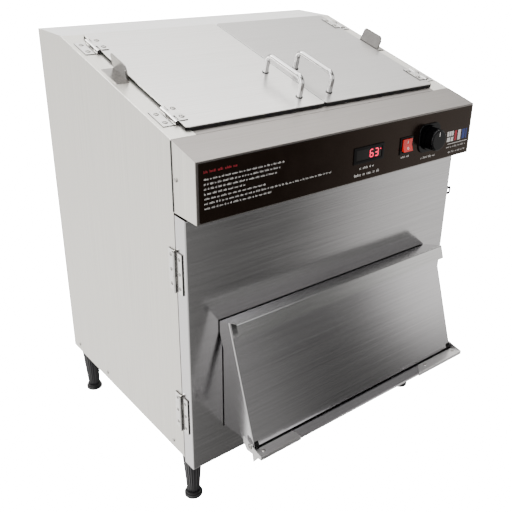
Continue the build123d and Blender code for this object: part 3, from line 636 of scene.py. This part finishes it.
@dataclass
class ScrewHeads:
    """Domed cross-head screw heads scattered on points; each point carries the direction it faces. Their cross and the
    ring under them are painted shade.
    """

    palette: Palette
    radius: float = 3.3
    height: float = 1.3
    slot_width: float = 0.75
    sides: int = 24
    # The ring is a flat dark disc under the head, a painted shadow round it.
    ring: float = 1.16
    ring_height: float = 0.16
    cross: tuple[float, float] = (0.85, 0.3)
    cross_rise: float = 0.88
    dome: tuple[tuple[float, float, float, float], ...] = (
        (1.0, 0.92, 0.0, 0.45),
        (0.92, 0.70, 0.45, 0.35),
        (0.70, 0.45, 0.80, 0.20),
    )
    turn_seed: int = 11

    def tree(self) -> NodeTree:
        """Build the tree: a stepped dome with a cross and a ring under it in painted shade black, one unit in radius
        and height, scaled in place.

        Returns:
            The finished tree.
        """
        tree, given = start_tree("cross-head screws", {"Radius": 0.0033, "Height": 0.0013}, ("facing",))
        shapes: dict[str, list[tuple[Node, float]]] = {"screw": [], "painted_shade": []}
        for bottom, top, rise, depth in self.dome:
            values = {"Vertices": self.sides, "Radius Bottom": bottom, "Radius Top": top, "Depth": depth}
            shapes["screw"].append((add_node(tree, "GeometryNodeMeshCone", values=values), rise))
        slot = self.slot_width / self.radius
        long, deep = self.cross
        for size in ((long, slot, deep), (slot, long, deep)):
            shapes["painted_shade"].append((add_node(tree, "GeometryNodeMeshCube", values={"Size": size}), self.cross_rise))
        values = {"Vertices": self.sides, "Radius": self.ring, "Depth": self.ring_height}
        shapes["painted_shade"].append((add_node(tree, "GeometryNodeMeshCylinder", values=values), 0.0))
        whole = tree.nodes.new("GeometryNodeJoinGeometry")
        for finish, pieces in shapes.items():
            join = tree.nodes.new("GeometryNodeJoinGeometry")
            for piece, rise in pieces:
                links = {"Geometry": piece.outputs["Mesh"]}
                lifted = add_node(tree, "GeometryNodeTransform", values={"Translation": (0, 0, rise)}, links=links)
                tree.links.new(lifted.outputs[0], join.inputs[0])
            values = {"Material": self.palette.get(finish)}
            dressed = add_node(tree, "GeometryNodeSetMaterial", values=values, links={"Geometry": join.outputs[0]})
            tree.links.new(dressed.outputs[0], whole.inputs[0])
        aim = add_node(tree, "FunctionNodeAlignRotationToVector", {"axis": "Z"}, links={"Vector": given["facing"]})
        values = {"Min": 0.0, "Max": math.pi / 2, "Seed": self.turn_seed}
        turn = add_node(tree, "FunctionNodeRandomValue", {"data_type": "FLOAT"}, values)
        spin = add_node(tree, "ShaderNodeCombineXYZ", links={"Z": turn.outputs[1]})
        links = {"Rotation": aim.outputs[0], "Rotate By": spin.outputs[0]}
        spun = add_node(tree, "FunctionNodeRotateRotation", {"rotation_space": "LOCAL"}, links=links)
        links = {"X": given["Radius"], "Y": given["Radius"], "Z": given["Height"]}
        size = add_node(tree, "ShaderNodeCombineXYZ", links=links)
        more = {"Rotation": spun.outputs[0], "Scale": size.outputs[0]}
        end_tree(tree, given["Geometry"], whole.outputs[0], more=more)
        return tree

    def fit(self, name: str, body: Body, screws: Iterable[Screw], radius: float | None = None) -> None:
        """Set screws on one body.

        Args:
            name: The piece's name.
            body: What they ride on.
            screws: Point and facing direction of each.
            radius: Head radius in millimetres, where it isn't the usual one.
        """
        rows = list(screws)
        obj = point_cloud(name, [p for p, _ in rows], {"facing": [tuple(d) for _, d in rows]})
        size = radius or self.radius
        height = self.height * size / self.radius
        bake_tree(obj, self.tree(), {"Radius": size * MM, "Height": height * MM})
        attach(obj, body.value)
        LOG.info("%s: %d heads", name, len(rows))


@dataclass
class PrintMarks:
    """Flat tiles of ink on points; each point carries its tile's size and how far it leans back."""

    palette: Palette
    thickness: float = 0.08

    def tree(self, finish: str) -> NodeTree:
        """Build the tree: one thin tile on each point.

        Args:
            finish: The ink's finish name.

        Returns:
            The finished tree.
        """
        tree, given = start_tree(f"printed marks, {finish}", {"Thickness": 0.00008}, ("tile", "turn"))
        size = add_node(tree, "ShaderNodeCombineXYZ", values={"X": 1.0, "Z": 1.0}, links={"Y": given["Thickness"]})
        tile = add_node(tree, "GeometryNodeMeshCube", links={"Size": size.outputs[0]})
        turn = add_node(tree, "FunctionNodeEulerToRotation", links={"Euler": given["turn"]})
        more = {"Rotation": turn.outputs[0], "Scale": given["tile"]}
        end_tree(tree, given["Geometry"], tile.outputs["Mesh"], self.palette.get(finish), more)
        return tree

    def fit(
        self, name: str, body: Body, finish: str, slot: str, tiles: Iterable[Tile]
    ) -> None:
        """Print tiles on one body.

        Args:
            name: The piece's name.
            body: What they ride on.
            finish: The ink's finish name.
            slot: The record's material slot; not used.
            tiles: Centre, width, height (millimetres) and lean about the cross axis (degrees) of each.
        """
        rows = list(tiles)
        obj = point_cloud(
            name,
            [row[0] for row in rows],
            {
                "tile": [(row[1] * MM, 1.0, row[2] * MM) for row in rows],
                "turn": [(math.radians(row[3]), 0.0, 0.0) for row in rows],
            },
        )
        bake_tree(obj, self.tree(finish), {"Thickness": self.thickness * MM})
        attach(obj, body.value)
        LOG.info("%s: %d marks", name, len(rows))


# ---- Sub-assemblies ----
@dataclass
class Lids:
    """Screws of the lid hinges, and black discs round the feet of the lids' handles that paint the contact shade there.
    """

    palette: Palette
    hinge_starts: tuple[float, float] = (33.5, 284.5)
    hinge_length: float = 46.0
    fixed_x: float = 288.5
    moving_x: float = 261.0
    leaf: float = 1.2
    lid_top: float = 6.0
    handle_x: float = 33.5
    handle_feet: tuple[float, float] = (45.0, 141.0)
    # Radius and height of the black disc at each handle foot, a painted shade.
    ring: tuple[float, float] = (6.2, 0.8)
    fixed_radius: float = 3.7
    moving_radius: float = 3.9

    def hinge_points(self, side: int, x: float, h: float) -> list[Screw]:
        """Two screws on each of one side's leaves.

        Args:
            side: -1 for the left, 1 for the right.
            x: Distance from the centre line.
            h: Height of the leaf's face above the slope.

        Returns:
            Point and facing direction of each.
        """
        out = DATUM.slope_axes()[1]
        places = []
        for start in self.hinge_starts:
            for share in (0.22, 0.78):
                places.append((DATUM.on_slope(side * x, start + share * self.hinge_length, h), out))
        return places

    def build(self, screws: ScrewHeads) -> None:
        """Fit every screw of the lids.

        Args:
            screws: The screw maker.
        """
        fixed: list[Screw] = []
        for side in (-1, 1):
            fixed += self.hinge_points(side, self.fixed_x, self.leaf)
        screws.fit("lid_fixed_screws", Body.CABINET, fixed, self.fixed_radius)
        top = self.lid_top + self.leaf
        for side, body in ((-1, Body.LEFT_LID), (1, Body.RIGHT_LID)):
            points = self.hinge_points(side, self.moving_x, top)
            screws.fit(f"{body.value}_screws", body, points, self.moving_radius)
            self.fit_foot_shades(side, body)

    def fit_foot_shades(self, side: int, body: Body) -> None:
        """Put a black disc round each foot of one lid's handle, a painted shade where the foot meets the lid.

        Args:
            side: -1 for the left, 1 for the right.
            body: The lid.
        """
        out = DATUM.slope_axes()[1]
        radius, height = self.ring
        feet = [DATUM.on_slope(side * self.handle_x, s, self.lid_top + height / 2) for s in self.handle_feet]
        obj = point_cloud(f"{body.value}_handle_foot_shades", feet, {"facing": [tuple(out)] * len(feet)})
        bake_tree(obj, disc_tree(self.palette, "handle foot shade discs", "black"), {"Radius": radius * MM, "Height": height * MM})
        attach(obj, body.value)


@dataclass
class Door:
    """Screws of the door hinges, the chute brackets and the door's right edge, and the tilt panel's bushes."""

    palette: Palette
    hinge_starts: tuple[float, float] = (63.0, 332.0)
    hinge_length: float = 70.0
    leaf: float = 2.0
    body_y: float = 11.2
    door_y: float = -13.2
    edge_screw: tuple[float, float] = (-15.0, 225.0)
    bracket_screws: tuple[tuple[float, float], ...] = ((-240.0, -141.0), (240.0, -141.0), (158.0, -141.0))
    bracket_top: float = 77.35
    pivot: tuple[float, float] = (-122.5, 80.2)
    pivot_x: float = 253.3
    bush: tuple[float, float] = (6.6, 7.0)
    bush_x: float = 243.0
    leaf_radius: float = 2.6
    bracket_radius: float = 3.2
    pivot_radius: float = 4.4
    edge_radius: float = 3.0

    def leaf_points(self, y: float) -> list[Screw]:
        """Three screws down each leaf.

        Args:
            y: Where the leaf's screws are, back from the side panels' front edge.

        Returns:
            Point and facing direction of each.
        """
        x = -DATUM.width / 2 - self.leaf
        shares = (0.14, 0.5, 0.86)
        return [
            (DATUM.at(x, y, start + share * self.hinge_length), LEFT) for start in self.hinge_starts for share in shares
        ]

    def build(self, screws: ScrewHeads) -> None:
        """Fit every screw of the door.

        Args:
            screws: The screw maker.
        """
        screws.fit("door_hinge_body_screws", Body.CABINET, self.leaf_points(self.body_y), self.leaf_radius)
        screws.fit("door_hinge_door_screws", Body.DOOR, self.leaf_points(self.door_y), self.leaf_radius)
        up = Vector((0, 0, 1))
        on_ledge = [(DATUM.at(x, y, self.bracket_top), up) for x, y in self.bracket_screws]
        screws.fit("chute_bracket_screws", Body.DOOR, on_ledge, self.bracket_radius)
        pivots = [(DATUM.at(side * self.pivot_x, *self.pivot), way) for side, way in ((-1, LEFT), (1, RIGHT))]
        screws.fit("panel_pivot_heads", Body.DOOR, pivots, self.pivot_radius)
        self.fit_bushes()
        y, z = self.edge_screw
        edge = [(DATUM.at(DATUM.width / 2, y, z), RIGHT)]
        screws.fit("door_edge_screw", Body.DOOR, edge, self.edge_radius)

    def fit_bushes(self) -> None:
        """Put a black bush round the tilt panel's pivot inside each cheek."""
        radius, length = self.bush
        places = [DATUM.at(side * self.bush_x, *self.pivot) for side in (-1, 1)]
        obj = point_cloud("panel_pivot_bushes", places, {"facing": [tuple(LEFT), tuple(RIGHT)]})
        tree = disc_tree(self.palette, "pivot bushes", "gloss")
        bake_tree(obj, tree, {"Radius": radius * MM, "Height": length * MM})
        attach(obj, Body.PANEL.value)


@dataclass
class Controls:
    """Print on the overlay, the display's digits and the knob's pointer."""

    palette: Palette
    face_y: float = -64.3
    knob: tuple[float, float] = (184.5, 514.5)
    knob_front_y: float = -88.95
    upper_face: tuple[tuple[float, float], tuple[float, float]] = ((-67.93, 511.2), (-69.04, 522.6))
    lower_face: tuple[tuple[float, float], tuple[float, float]] = ((-71.77, 500.4), (-67.93, 511.2))
    display: tuple[float, float] = (33.0, 511.7)
    window_y: float = -65.15
    switch_x: float = 124.8
    digit_height: float = 12.6
    digit_width: float = 7.2
    stroke: float = 1.7
    random_seed: int = 5
    line_start: float = -292.0
    line_drop: float = 1.6
    line_height: float = 3.0
    digit_gap: float = 4.6
    digit_inset: float = 6.0
    decimal_point: tuple[float, float, float] = (27.0, 4.5, 1.8)
    pointer: tuple[float, float, float] = (11.0, 1.4, 8.0)
    ink_lift: float = 0.12
    lines: tuple[tuple[float, float], ...] = (
        (532.5, 148.0),
        (525.2, 139.0),
        (517.9, 131.0),
        (510.6, 71.0),
        (503.3, 109.0),
        (496.0, 242.0),
        (488.7, 120.0),
    )
    captions: tuple[tuple[float, float, float, float], ...] = (
        (14, 52, 486.5, 4.2),
        (2, 62, 475.0, 5.2),
        (114, 137, 487.5, 3.6),
        (168, 212, 476.0, 4.0),
        (238, 298, 484.0, 3.0),
        (244, 298, 474.0, 3.0),
    )
    title: tuple[float, float, float, float] = (-292, -234, 541.5, 4.0)
    blocks: tuple[tuple[str, tuple[float, float, float, float]], ...] = (
        ("white_ink", (239.5, 511, 5, 9)),
        ("white_ink", (246, 511, 5, 9)),
        ("white_ink", (252.5, 511, 5, 9)),
        ("white_ink", (242, 500, 9, 8)),
        ("white_ink", (252, 500, 7, 8)),
        ("red_ink", (261.5, 505.5, 6, 19)),
        ("white_ink", (272, 505.5, 8, 19)),
        ("white_ink", (269, 491.5, 56, 1.0)),
        ("blue_ink", (284, 505.5, 8, 19)),
        ("blue_ink", (292, 505.5, 4, 19)),
    )

    def word_line(
        self, source: random.Random, x0: float, x1: float, z: float, height: float
    ) -> list[Tile]:
        """Plain strokes standing where a line of small print is.

        Args:
            source: The random numbers that share out the words.
            x0: The line's start.
            x1: Its end.
            z: Its height on the panel.
            height: The strokes' height.

        Returns:
            One tile for each stroke.
        """
        tiles, x = [], x0
        while x < x1 - height:
            letters = source.randint(2, 7)
            for _ in range(letters):
                width = height * source.uniform(0.12, 0.25)
                if x + width > x1:
                    break
                tall = height * source.choice((0.7, 0.7, 1.0))
                tiles.append((DATUM.at(x + width / 2, self.face_y, z + tall / 2), width, tall, 0.0))
                x += width + height * 0.27
            x += height * 0.75
        return tiles

    def segments(self, digit: int, x: float, z: float) -> list[Tile]:
        """The lit bars of a seven-segment digit.

        Args:
            digit: The number shown.
            x: The digit's centre across.
            z: Its centre's height.

        Returns:
            One tile for each lit bar.
        """
        lit = {0: "abcdef", 3: "abcdg", 6: "acdefg"}[digit]
        w, h, t = self.digit_width, self.digit_height, self.stroke
        bars = {
            "a": (0, h / 2, w - t, t),
            "g": (0, 0, w - t, t),
            "d": (0, -h / 2, w - t, t),
            "b": (w / 2, h / 4, t, h / 2 - t * 0.6),
            "c": (w / 2, -h / 4, t, h / 2 - t * 0.6),
            "f": (-w / 2, h / 4, t, h / 2 - t * 0.6),
            "e": (-w / 2, -h / 4, t, h / 2 - t * 0.6),
        }
        return [
            (DATUM.at(x + bars[k][0], self.window_y, z + bars[k][1]), bars[k][2], bars[k][3], 0.0) for k in lit
        ]

    def build(self, marks: PrintMarks) -> None:
        """Print everything on the panel.

        Args:
            marks: The mark maker.
        """
        source = random.Random(self.random_seed)
        inks: dict[str, list[Tile]] = {"white_ink": [], "red_ink": [], "blue_ink": []}
        x0 = self.line_start
        for z, length in self.lines:
            inks["white_ink"] += self.word_line(source, x0, x0 + length, z - self.line_drop, self.line_height)
        for caption in self.captions:
            inks["white_ink"] += self.word_line(source, *caption)
        for ink, (x, z, width, height) in self.blocks:
            inks[ink].append((DATUM.at(x, self.face_y, z), width, height, 0.0))
        inks["red_ink"] += self.word_line(source, *self.title)
        for ink, rows in inks.items():
            marks.fit(f"overlay_{ink}", Body.CABINET, ink, "label_film", rows)
        x, z = self.display
        first = x + self.digit_inset
        second = first + self.digit_width + self.digit_gap
        digits = self.segments(6, first, z) + self.segments(3, second, z)
        across, up, size = self.decimal_point
        digits.append((DATUM.at(x + across, self.window_y, z + up), size, size, 0.0))
        marks.fit("display_digits", Body.CABINET, "digit", "red_rocker", digits)
        kx, kz = self.knob
        up, width, height = self.pointer
        pointer = [(DATUM.at(kx, self.knob_front_y, kz + up), width, height, 0.0)]
        marks.fit("knob_pointer", Body.KNOB, "white_ink", "gloss_black", pointer)
        marks.fit("rocker_marks", Body.ROCKER, "white_ink", "red_rocker", self.rocker_marks())

    def rocker_marks(self) -> list[Tile]:
        """A bar on the rocker's upper face and a ring on its lower one.

        Returns:
            One tile for each stroke.
        """
        x = self.switch_x
        tiles = []
        for (y0, z0), (y1, z1), strokes in (
            (*self.upper_face, ((0.0, 0.0, 1.4, 4.8),)),
            (*self.lower_face, ((-1.5, 0, 0.9, 3.0), (1.5, 0, 0.9, 3.0), (0, 1.9, 2.4, 0.9), (0, -1.9, 2.4, 0.9))),
        ):
            up = Vector((0, y1 - y0, z1 - z0)).normalized()
            middle = DATUM.at(x, (y0 + y1) / 2, (z0 + z1) / 2) + Vector((0, -up.z, up.y)) * self.ink_lift * MM
            lean = math.degrees(math.asin(-up.y))
            for across, along, width, height in strokes:
                tiles.append((middle + (Vector((across, 0, 0)) + up * along) * MM, width, height, lean))
        return tiles


@dataclass
class KnobFlutes:
    """Grip ribs round the thermostat knob's barrel."""

    palette: Palette
    count: int = 30
    radius: float = 19.0
    rib: float = 0.95
    back_y: float = -72.5
    front_y: float = -86.0
    centre: tuple[float, float] = (184.5, 514.5)

    def build(self) -> None:
        """Instance one rib on points round the barrel and keep the result as a plain mesh."""
        tree, given = start_tree("knob ribs", {"Radius": 0.02, "Rib": 0.0009, "Length": 0.007})
        values, links = {"Vertices": self.count}, {"Radius": given["Radius"]}
        ring = add_node(tree, "GeometryNodeMeshCircle", values=values, links=links).outputs["Mesh"]
        links = {"Radius": given["Rib"], "Depth": given["Length"]}
        rib = add_node(tree, "GeometryNodeMeshCylinder", values={"Vertices": 8}, links=links).outputs["Mesh"]
        end_tree(tree, ring, rib, self.palette.get("gloss"))
        obj = point_cloud("knob_ribs", [Vector((0, 0, 0))], {})
        length = self.back_y - self.front_y
        bake_tree(obj, tree, {"Radius": self.radius * MM, "Rib": self.rib * MM, "Length": length * MM})
        x, z = self.centre
        centre = DATUM.at(x, (self.back_y + self.front_y) / 2, z)
        obj.data.transform(Matrix.Translation(centre) @ Matrix.Rotation(math.pi / 2, 4, "X"))
        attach(obj, Body.KNOB.value)
        LOG.info("knob ribs: %d", self.count)


@dataclass
class GapShades:
    """Bars in painted shade black: strips under the lids' edges and a bar in the gap beside the control box, which
    stand for the shade in those gaps, and fillers at the chute's ends.
    """

    palette: Palette
    lid_edge: float = 269.3
    lid_front: float = 15.0
    lid_rear: float = 351.0
    lid_middle: float = 3.0
    seam: tuple[float, float] = (-0.7, 4.0)
    width: float = 4.5
    low: float = 0.1
    high: float = 4.45
    joint: tuple[float, float] = (-1.7, 0.5)
    joint_bottom: float = 466.0
    proud: float = 0.9
    filler_x: tuple[float, float] = (236.0, 252.6)
    filler_y: tuple[float, float] = (-146.0, -112.0)
    filler_z: tuple[float, float] = (69.2, 70.2)

    def bars(self, name: str, body: Body, slot: str, boxes: Iterable[Sequence[Vector]]) -> None:
        """Make straight bars as one mesh.

        Args:
            name: The piece's name.
            body: What it rides on.
            slot: The record's material slot; not used.
            boxes: Eight corners of each bar, lower four first, each four going round.
        """
        mesh = bpy.data.meshes.new(name)
        corners = [tuple(corner) for box in boxes for corner in box]
        sides = ((0, 3, 2, 1), (4, 5, 6, 7), (0, 1, 5, 4), (1, 2, 6, 5), (2, 3, 7, 6), (3, 0, 4, 7))
        faces = [[start + i for i in side] for start in range(0, len(corners), 8) for side in sides]
        mesh.from_pydata(corners, [], faces)
        mesh.materials.append(self.palette.get("painted_shade"))
        obj = new_object(name, mesh)
        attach(obj, body.value)

    def corners(
        self,
        place: Callable[[float, float, float], Vector],
        across: Iterable[float],
        back: Sequence[float],
        up: Sequence[float],
    ) -> list[Vector]:
        """Corners of a bar.

        Args:
            place: Turns three measures into a point, on the datum or on the slope.
            across: Its two sides, in either order.
            back: Its front and rear.
            up: Its underside and top.

        Returns:
            Eight corners.
        """
        x0, x1 = sorted(across)
        y0, y1 = back
        return [place(x, y, z) for z in up for x, y in ((x0, y0), (x1, y0), (x1, y1), (x0, y1))]

    def build(self) -> None:
        """Fit the painted shade strips under the lids, the painted shade bars in the control box's joints and the
        chute's fillers.
        """
        lid, front, rear = (self.lid_middle, self.lid_edge), self.lid_front, self.lid_rear
        # Strips set back under each lid's edges, and under the middle seam on the left lid: painted shade in the gap
        # under the lid.
        rows = [
            ((self.lid_edge - self.width, self.lid_edge), (front, rear)),
            (lid, (front, front + self.width)),
            (lid, (rear - self.width, rear)),
        ]
        left = [*rows, (self.seam, (front, rear))]
        for side, body, bars in ((-1, Body.LEFT_LID, left), (1, Body.RIGHT_LID, rows)):
            boxes = [
                self.corners(DATUM.on_slope, (side * x for x in xs), back, (self.low, self.high)) for xs, back in bars
            ]
            self.bars(f"{body.value}_gap_shade", body, "black_plastic", boxes)
        joint_x = (DATUM.width / 2 - 1, DATUM.width / 2 + self.proud)
        joint_z = (self.joint_bottom, DATUM.front_top - 1.5)
        joints, fillers = [], []
        for side in (-1, 1):
            joints.append(self.corners(DATUM.at, (side * x for x in joint_x), self.joint, joint_z))
            fillers.append(self.corners(DATUM.at, (side * x for x in self.filler_x), self.filler_y, self.filler_z))
        self.bars("control_box_gap_shade", Body.CABINET, "black_plastic", joints)
        self.bars("chute_end_fillers", Body.DOOR, "black_plastic", fillers)
        LOG.info("gap shade strips, gap shade bars and fillers fitted")


# ---- Studio ----
@dataclass
class Studio:
    """Pale floor, soft lights, surroundings and the camera."""

    floor_half: float = 14.0
    camera_place: tuple[float, float, float] = (-799.8, -862.9, 879.5)
    azimuth: float = 41.09
    elevation: float = 25.04
    roll: float = 2.23
    lens: float = 50.36
    shift: tuple[float, float] = (-0.0934, -0.0260)
    backdrop: float = 22.0
    floor_glow: float = 22.0
    dimmest: float = 0.07
    lobes: tuple[tuple[tuple[float, float, float], float, float], ...] = (
        ((-0.35, 0.75, -0.60), 1.6, 2.1),
        ((0.40, 0.60, 0.69), 16.0, 2.6),
        ((0.80, 0.40, 0.45), 40.0, 0.5),
        ((0.575, 0.25, 0.781), 120.0, 12.0),
        ((-0.48, 0.65, 0.56), 120.0, 25.0),
        ((-0.1, 0.3, 1.0), 2.0, 0.7),
        ((-0.9, -0.2, 0.4), 2.0, 0.9),
        ((0.95, 0.3, 0.0), 3.0, 0.5),
    )
    cards: tuple[tuple[tuple[float, float, float, float], tuple[float, float, float, float], float], ...] = (
        ((0.0, 15.0, 40.5, 48.5), (-0.85, -0.6, -0.25, -0.10), 0.95),
        ((0.0, 15.0, 46.0, 51.0), (-0.16, -0.06, 0.15, 0.35), 1.4),
        ((56.0, 62.0, 80.0, 95.0), (-0.85, -0.6, 0.1, 0.4), 0.24),
        ((95.0, 110.0, 150.0, 170.0), (-0.7, -0.4, 0.3, 0.6), 0.9),
    )

    def floor(self) -> None:
        """A plain pale floor, left out of mirrored light so that the steel sees the surroundings."""
        mesh = bpy.data.meshes.new("studio_floor")
        h = self.floor_half
        mesh.from_pydata([(-h, -h, 0), (h, -h, 0), (h, h, 0), (-h, h, 0)], [], [(0, 1, 2, 3)])
        obj = new_object("studio_floor", mesh)
        values = {
            "Base Color": linear("F4F4F4"),
            "Emission Color": linear("FFFFFF"),
            "Emission Strength": self.floor_glow,
            "Roughness": 0.9,
            "Specular IOR Level": 0.1,
        }
        material = new_material("pale studio paper", values)[0]
        mesh.materials.append(material)
        obj.visible_glossy = False
        obj.visible_diffuse = False

    def surroundings(self) -> None:
        """A sky of soft boxes: pale above and behind the left side, dim low at the front and right."""
        world = bpy.data.worlds.new("studio surroundings")
        bpy.context.scene.world = world
        world.use_nodes = True
        tree = world.node_tree
        background = tree.nodes["Background"]
        way = add_node(tree, "ShaderNodeTexCoord").outputs["Generated"]

        split = add_node(tree, "ShaderNodeSeparateXYZ", links={0: way}).outputs
        ahead = add_node(tree, "ShaderNodeMath", {"operation": "MULTIPLY"}, {1: -1.0}, {0: split["Y"]}).outputs[0]
        heading = add_node(tree, "ShaderNodeMath", {"operation": "ARCTAN2"}, links={0: ahead, 1: split["X"]}).outputs[0]

        def lobe(direction: Sequence[float], sharp: float, strength: float) -> NodeSocket:
            """A soft patch of light round a direction.

            Args:
                direction: Where its middle is.
                sharp: The power its falloff is raised to.
                strength: Its level in the middle.

            Returns:
                The patch's level.
            """
            unit = Vector(direction).normalized()
            near = add_node(tree, "ShaderNodeVectorMath", {"operation": "DOT_PRODUCT"}, {1: unit}, {0: way})
            level = near.outputs["Value"]
            for operation, value in (("MAXIMUM", 0.0), ("POWER", sharp), ("MULTIPLY", strength)):
                level = add_node(tree, "ShaderNodeMath", {"operation": operation}, {1: value}, {0: level}).outputs[0]
            return level

        def card(turn: Sequence[float], height: Sequence[float], strength: float) -> NodeSocket:
            """A reflector card with soft edges: each range starts, is full, stays full and ends.

            Args:
                turn: Headings in degrees from +X towards the front.
                height: Heights as sines.
                strength: The card's level.

            Returns:
                The card's level in each direction.
            """
            a0, a1, a2, a3 = (math.radians(v) for v in turn)
            z0, z1, z2, z3 = height
            level: dict[int, NodeSocket] = {}
            edges = ((heading, a0, a1), (heading, a3, a2), (split["Z"], z0, z1), (split["Z"], z3, z2))
            for source, start, end in edges:
                values = {"From Min": start, "From Max": end, "To Min": 0.0, "To Max": 1.0}
                kind = {"interpolation_type": "SMOOTHSTEP"}
                step = add_node(tree, "ShaderNodeMapRange", kind, values, {"Value": source}).outputs[0]
                links = {**level, 1: step}
                part = add_node(tree, "ShaderNodeMath", {"operation": "MULTIPLY"}, {0: strength}, links)
                level = {0: part.outputs[0]}
            return level[0]

        total: dict[int, NodeSocket] = {}
        for part in [lobe(*row) for row in self.lobes] + [card(*row) for row in self.cards]:
            links = {**total, 1: part}
            total = {0: add_node(tree, "ShaderNodeMath", {"operation": "ADD"}, {0: self.dimmest}, links).outputs[0]}
        seen = add_node(tree, "ShaderNodeLightPath").outputs["Is Camera Ray"]
        links = {0: seen, 2: total[0]}
        strength = add_node(tree, "ShaderNodeMix", {"data_type": "FLOAT"}, {3: self.backdrop}, links).outputs[0]
        tree.links.new(strength, background.inputs["Strength"])
        background.inputs["Color"].default_value = linear("FFFDFA")

    def lamp(self, name: str, place: Sequence[float], aim: Sequence[float], size: float, power: float) -> None:
        """A square soft light.

        Args:
            name: The lamp's name.
            place: Where it hangs, in metres.
            aim: What it faces.
            size: The length of its side.
            power: Watts.
        """
        data = bpy.data.lights.new(name, "AREA")
        data.shape = "SQUARE"
        data.size = size
        data.energy = power
        obj = new_object(name, data)
        obj.location = Vector(place)
        obj.rotation_mode = "QUATERNION"
        obj.rotation_quaternion = (Vector(aim) - Vector(place)).to_track_quat("-Z", "Y")

    def camera(self) -> None:
        """The camera, at its measured place and angles."""
        data = bpy.data.cameras.new("camera")
        data.lens = self.lens
        data.shift_x, data.shift_y = self.shift
        data.dof.use_dof = False
        obj = new_object("camera", data)
        a, e, roll = (math.radians(v) for v in (self.azimuth, self.elevation, self.roll))
        ahead = Vector((math.sin(a) * math.cos(e), math.cos(a) * math.cos(e), -math.sin(e)))
        right = ahead.cross(Vector((0, 0, 1))).normalized()
        up = right.cross(ahead)
        right, up = right * math.cos(roll) + up * math.sin(roll), up * math.cos(roll) - right * math.sin(roll)
        turn = Matrix((right, up, -ahead)).transposed().to_4x4()
        obj.matrix_world = Matrix.Translation(DATUM.at(*self.camera_place)) @ turn
        bpy.context.scene.camera = obj

    def build(self) -> None:
        """Set the whole studio up."""
        self.floor()
        self.surroundings()
        self.lamp("overhead_softbox", (-0.3, 0.2, 2.6), (0.0, 0.0, 0.4), 2.4, 55.0)
        self.lamp("left_softbox", (-2.4, -0.4, 1.3), (0.0, 0.0, 0.3), 1.8, 38.0)
        self.lamp("front_fill", (0.6, -2.6, 1.4), (0.0, 0.0, 0.3), 1.6, 14.0)
        self.camera()
        LOG.info("studio set")


def main() -> None:
    """Build the cabinet's looks and the studio in order."""
    palette = Palette(Finishes())
    palette.dress_nodes()
    palette.dress_faces(DATUM.slope_axes()[1])
    screws = ScrewHeads(palette)
    marks = PrintMarks(palette)
    Lids(palette).build(screws)
    Door(palette).build(screws)
    Controls(palette).build(marks)
    KnobFlutes(palette).build()
    GapShades(palette).build()
    Studio().build()


if __name__ == "__main__":
    main()
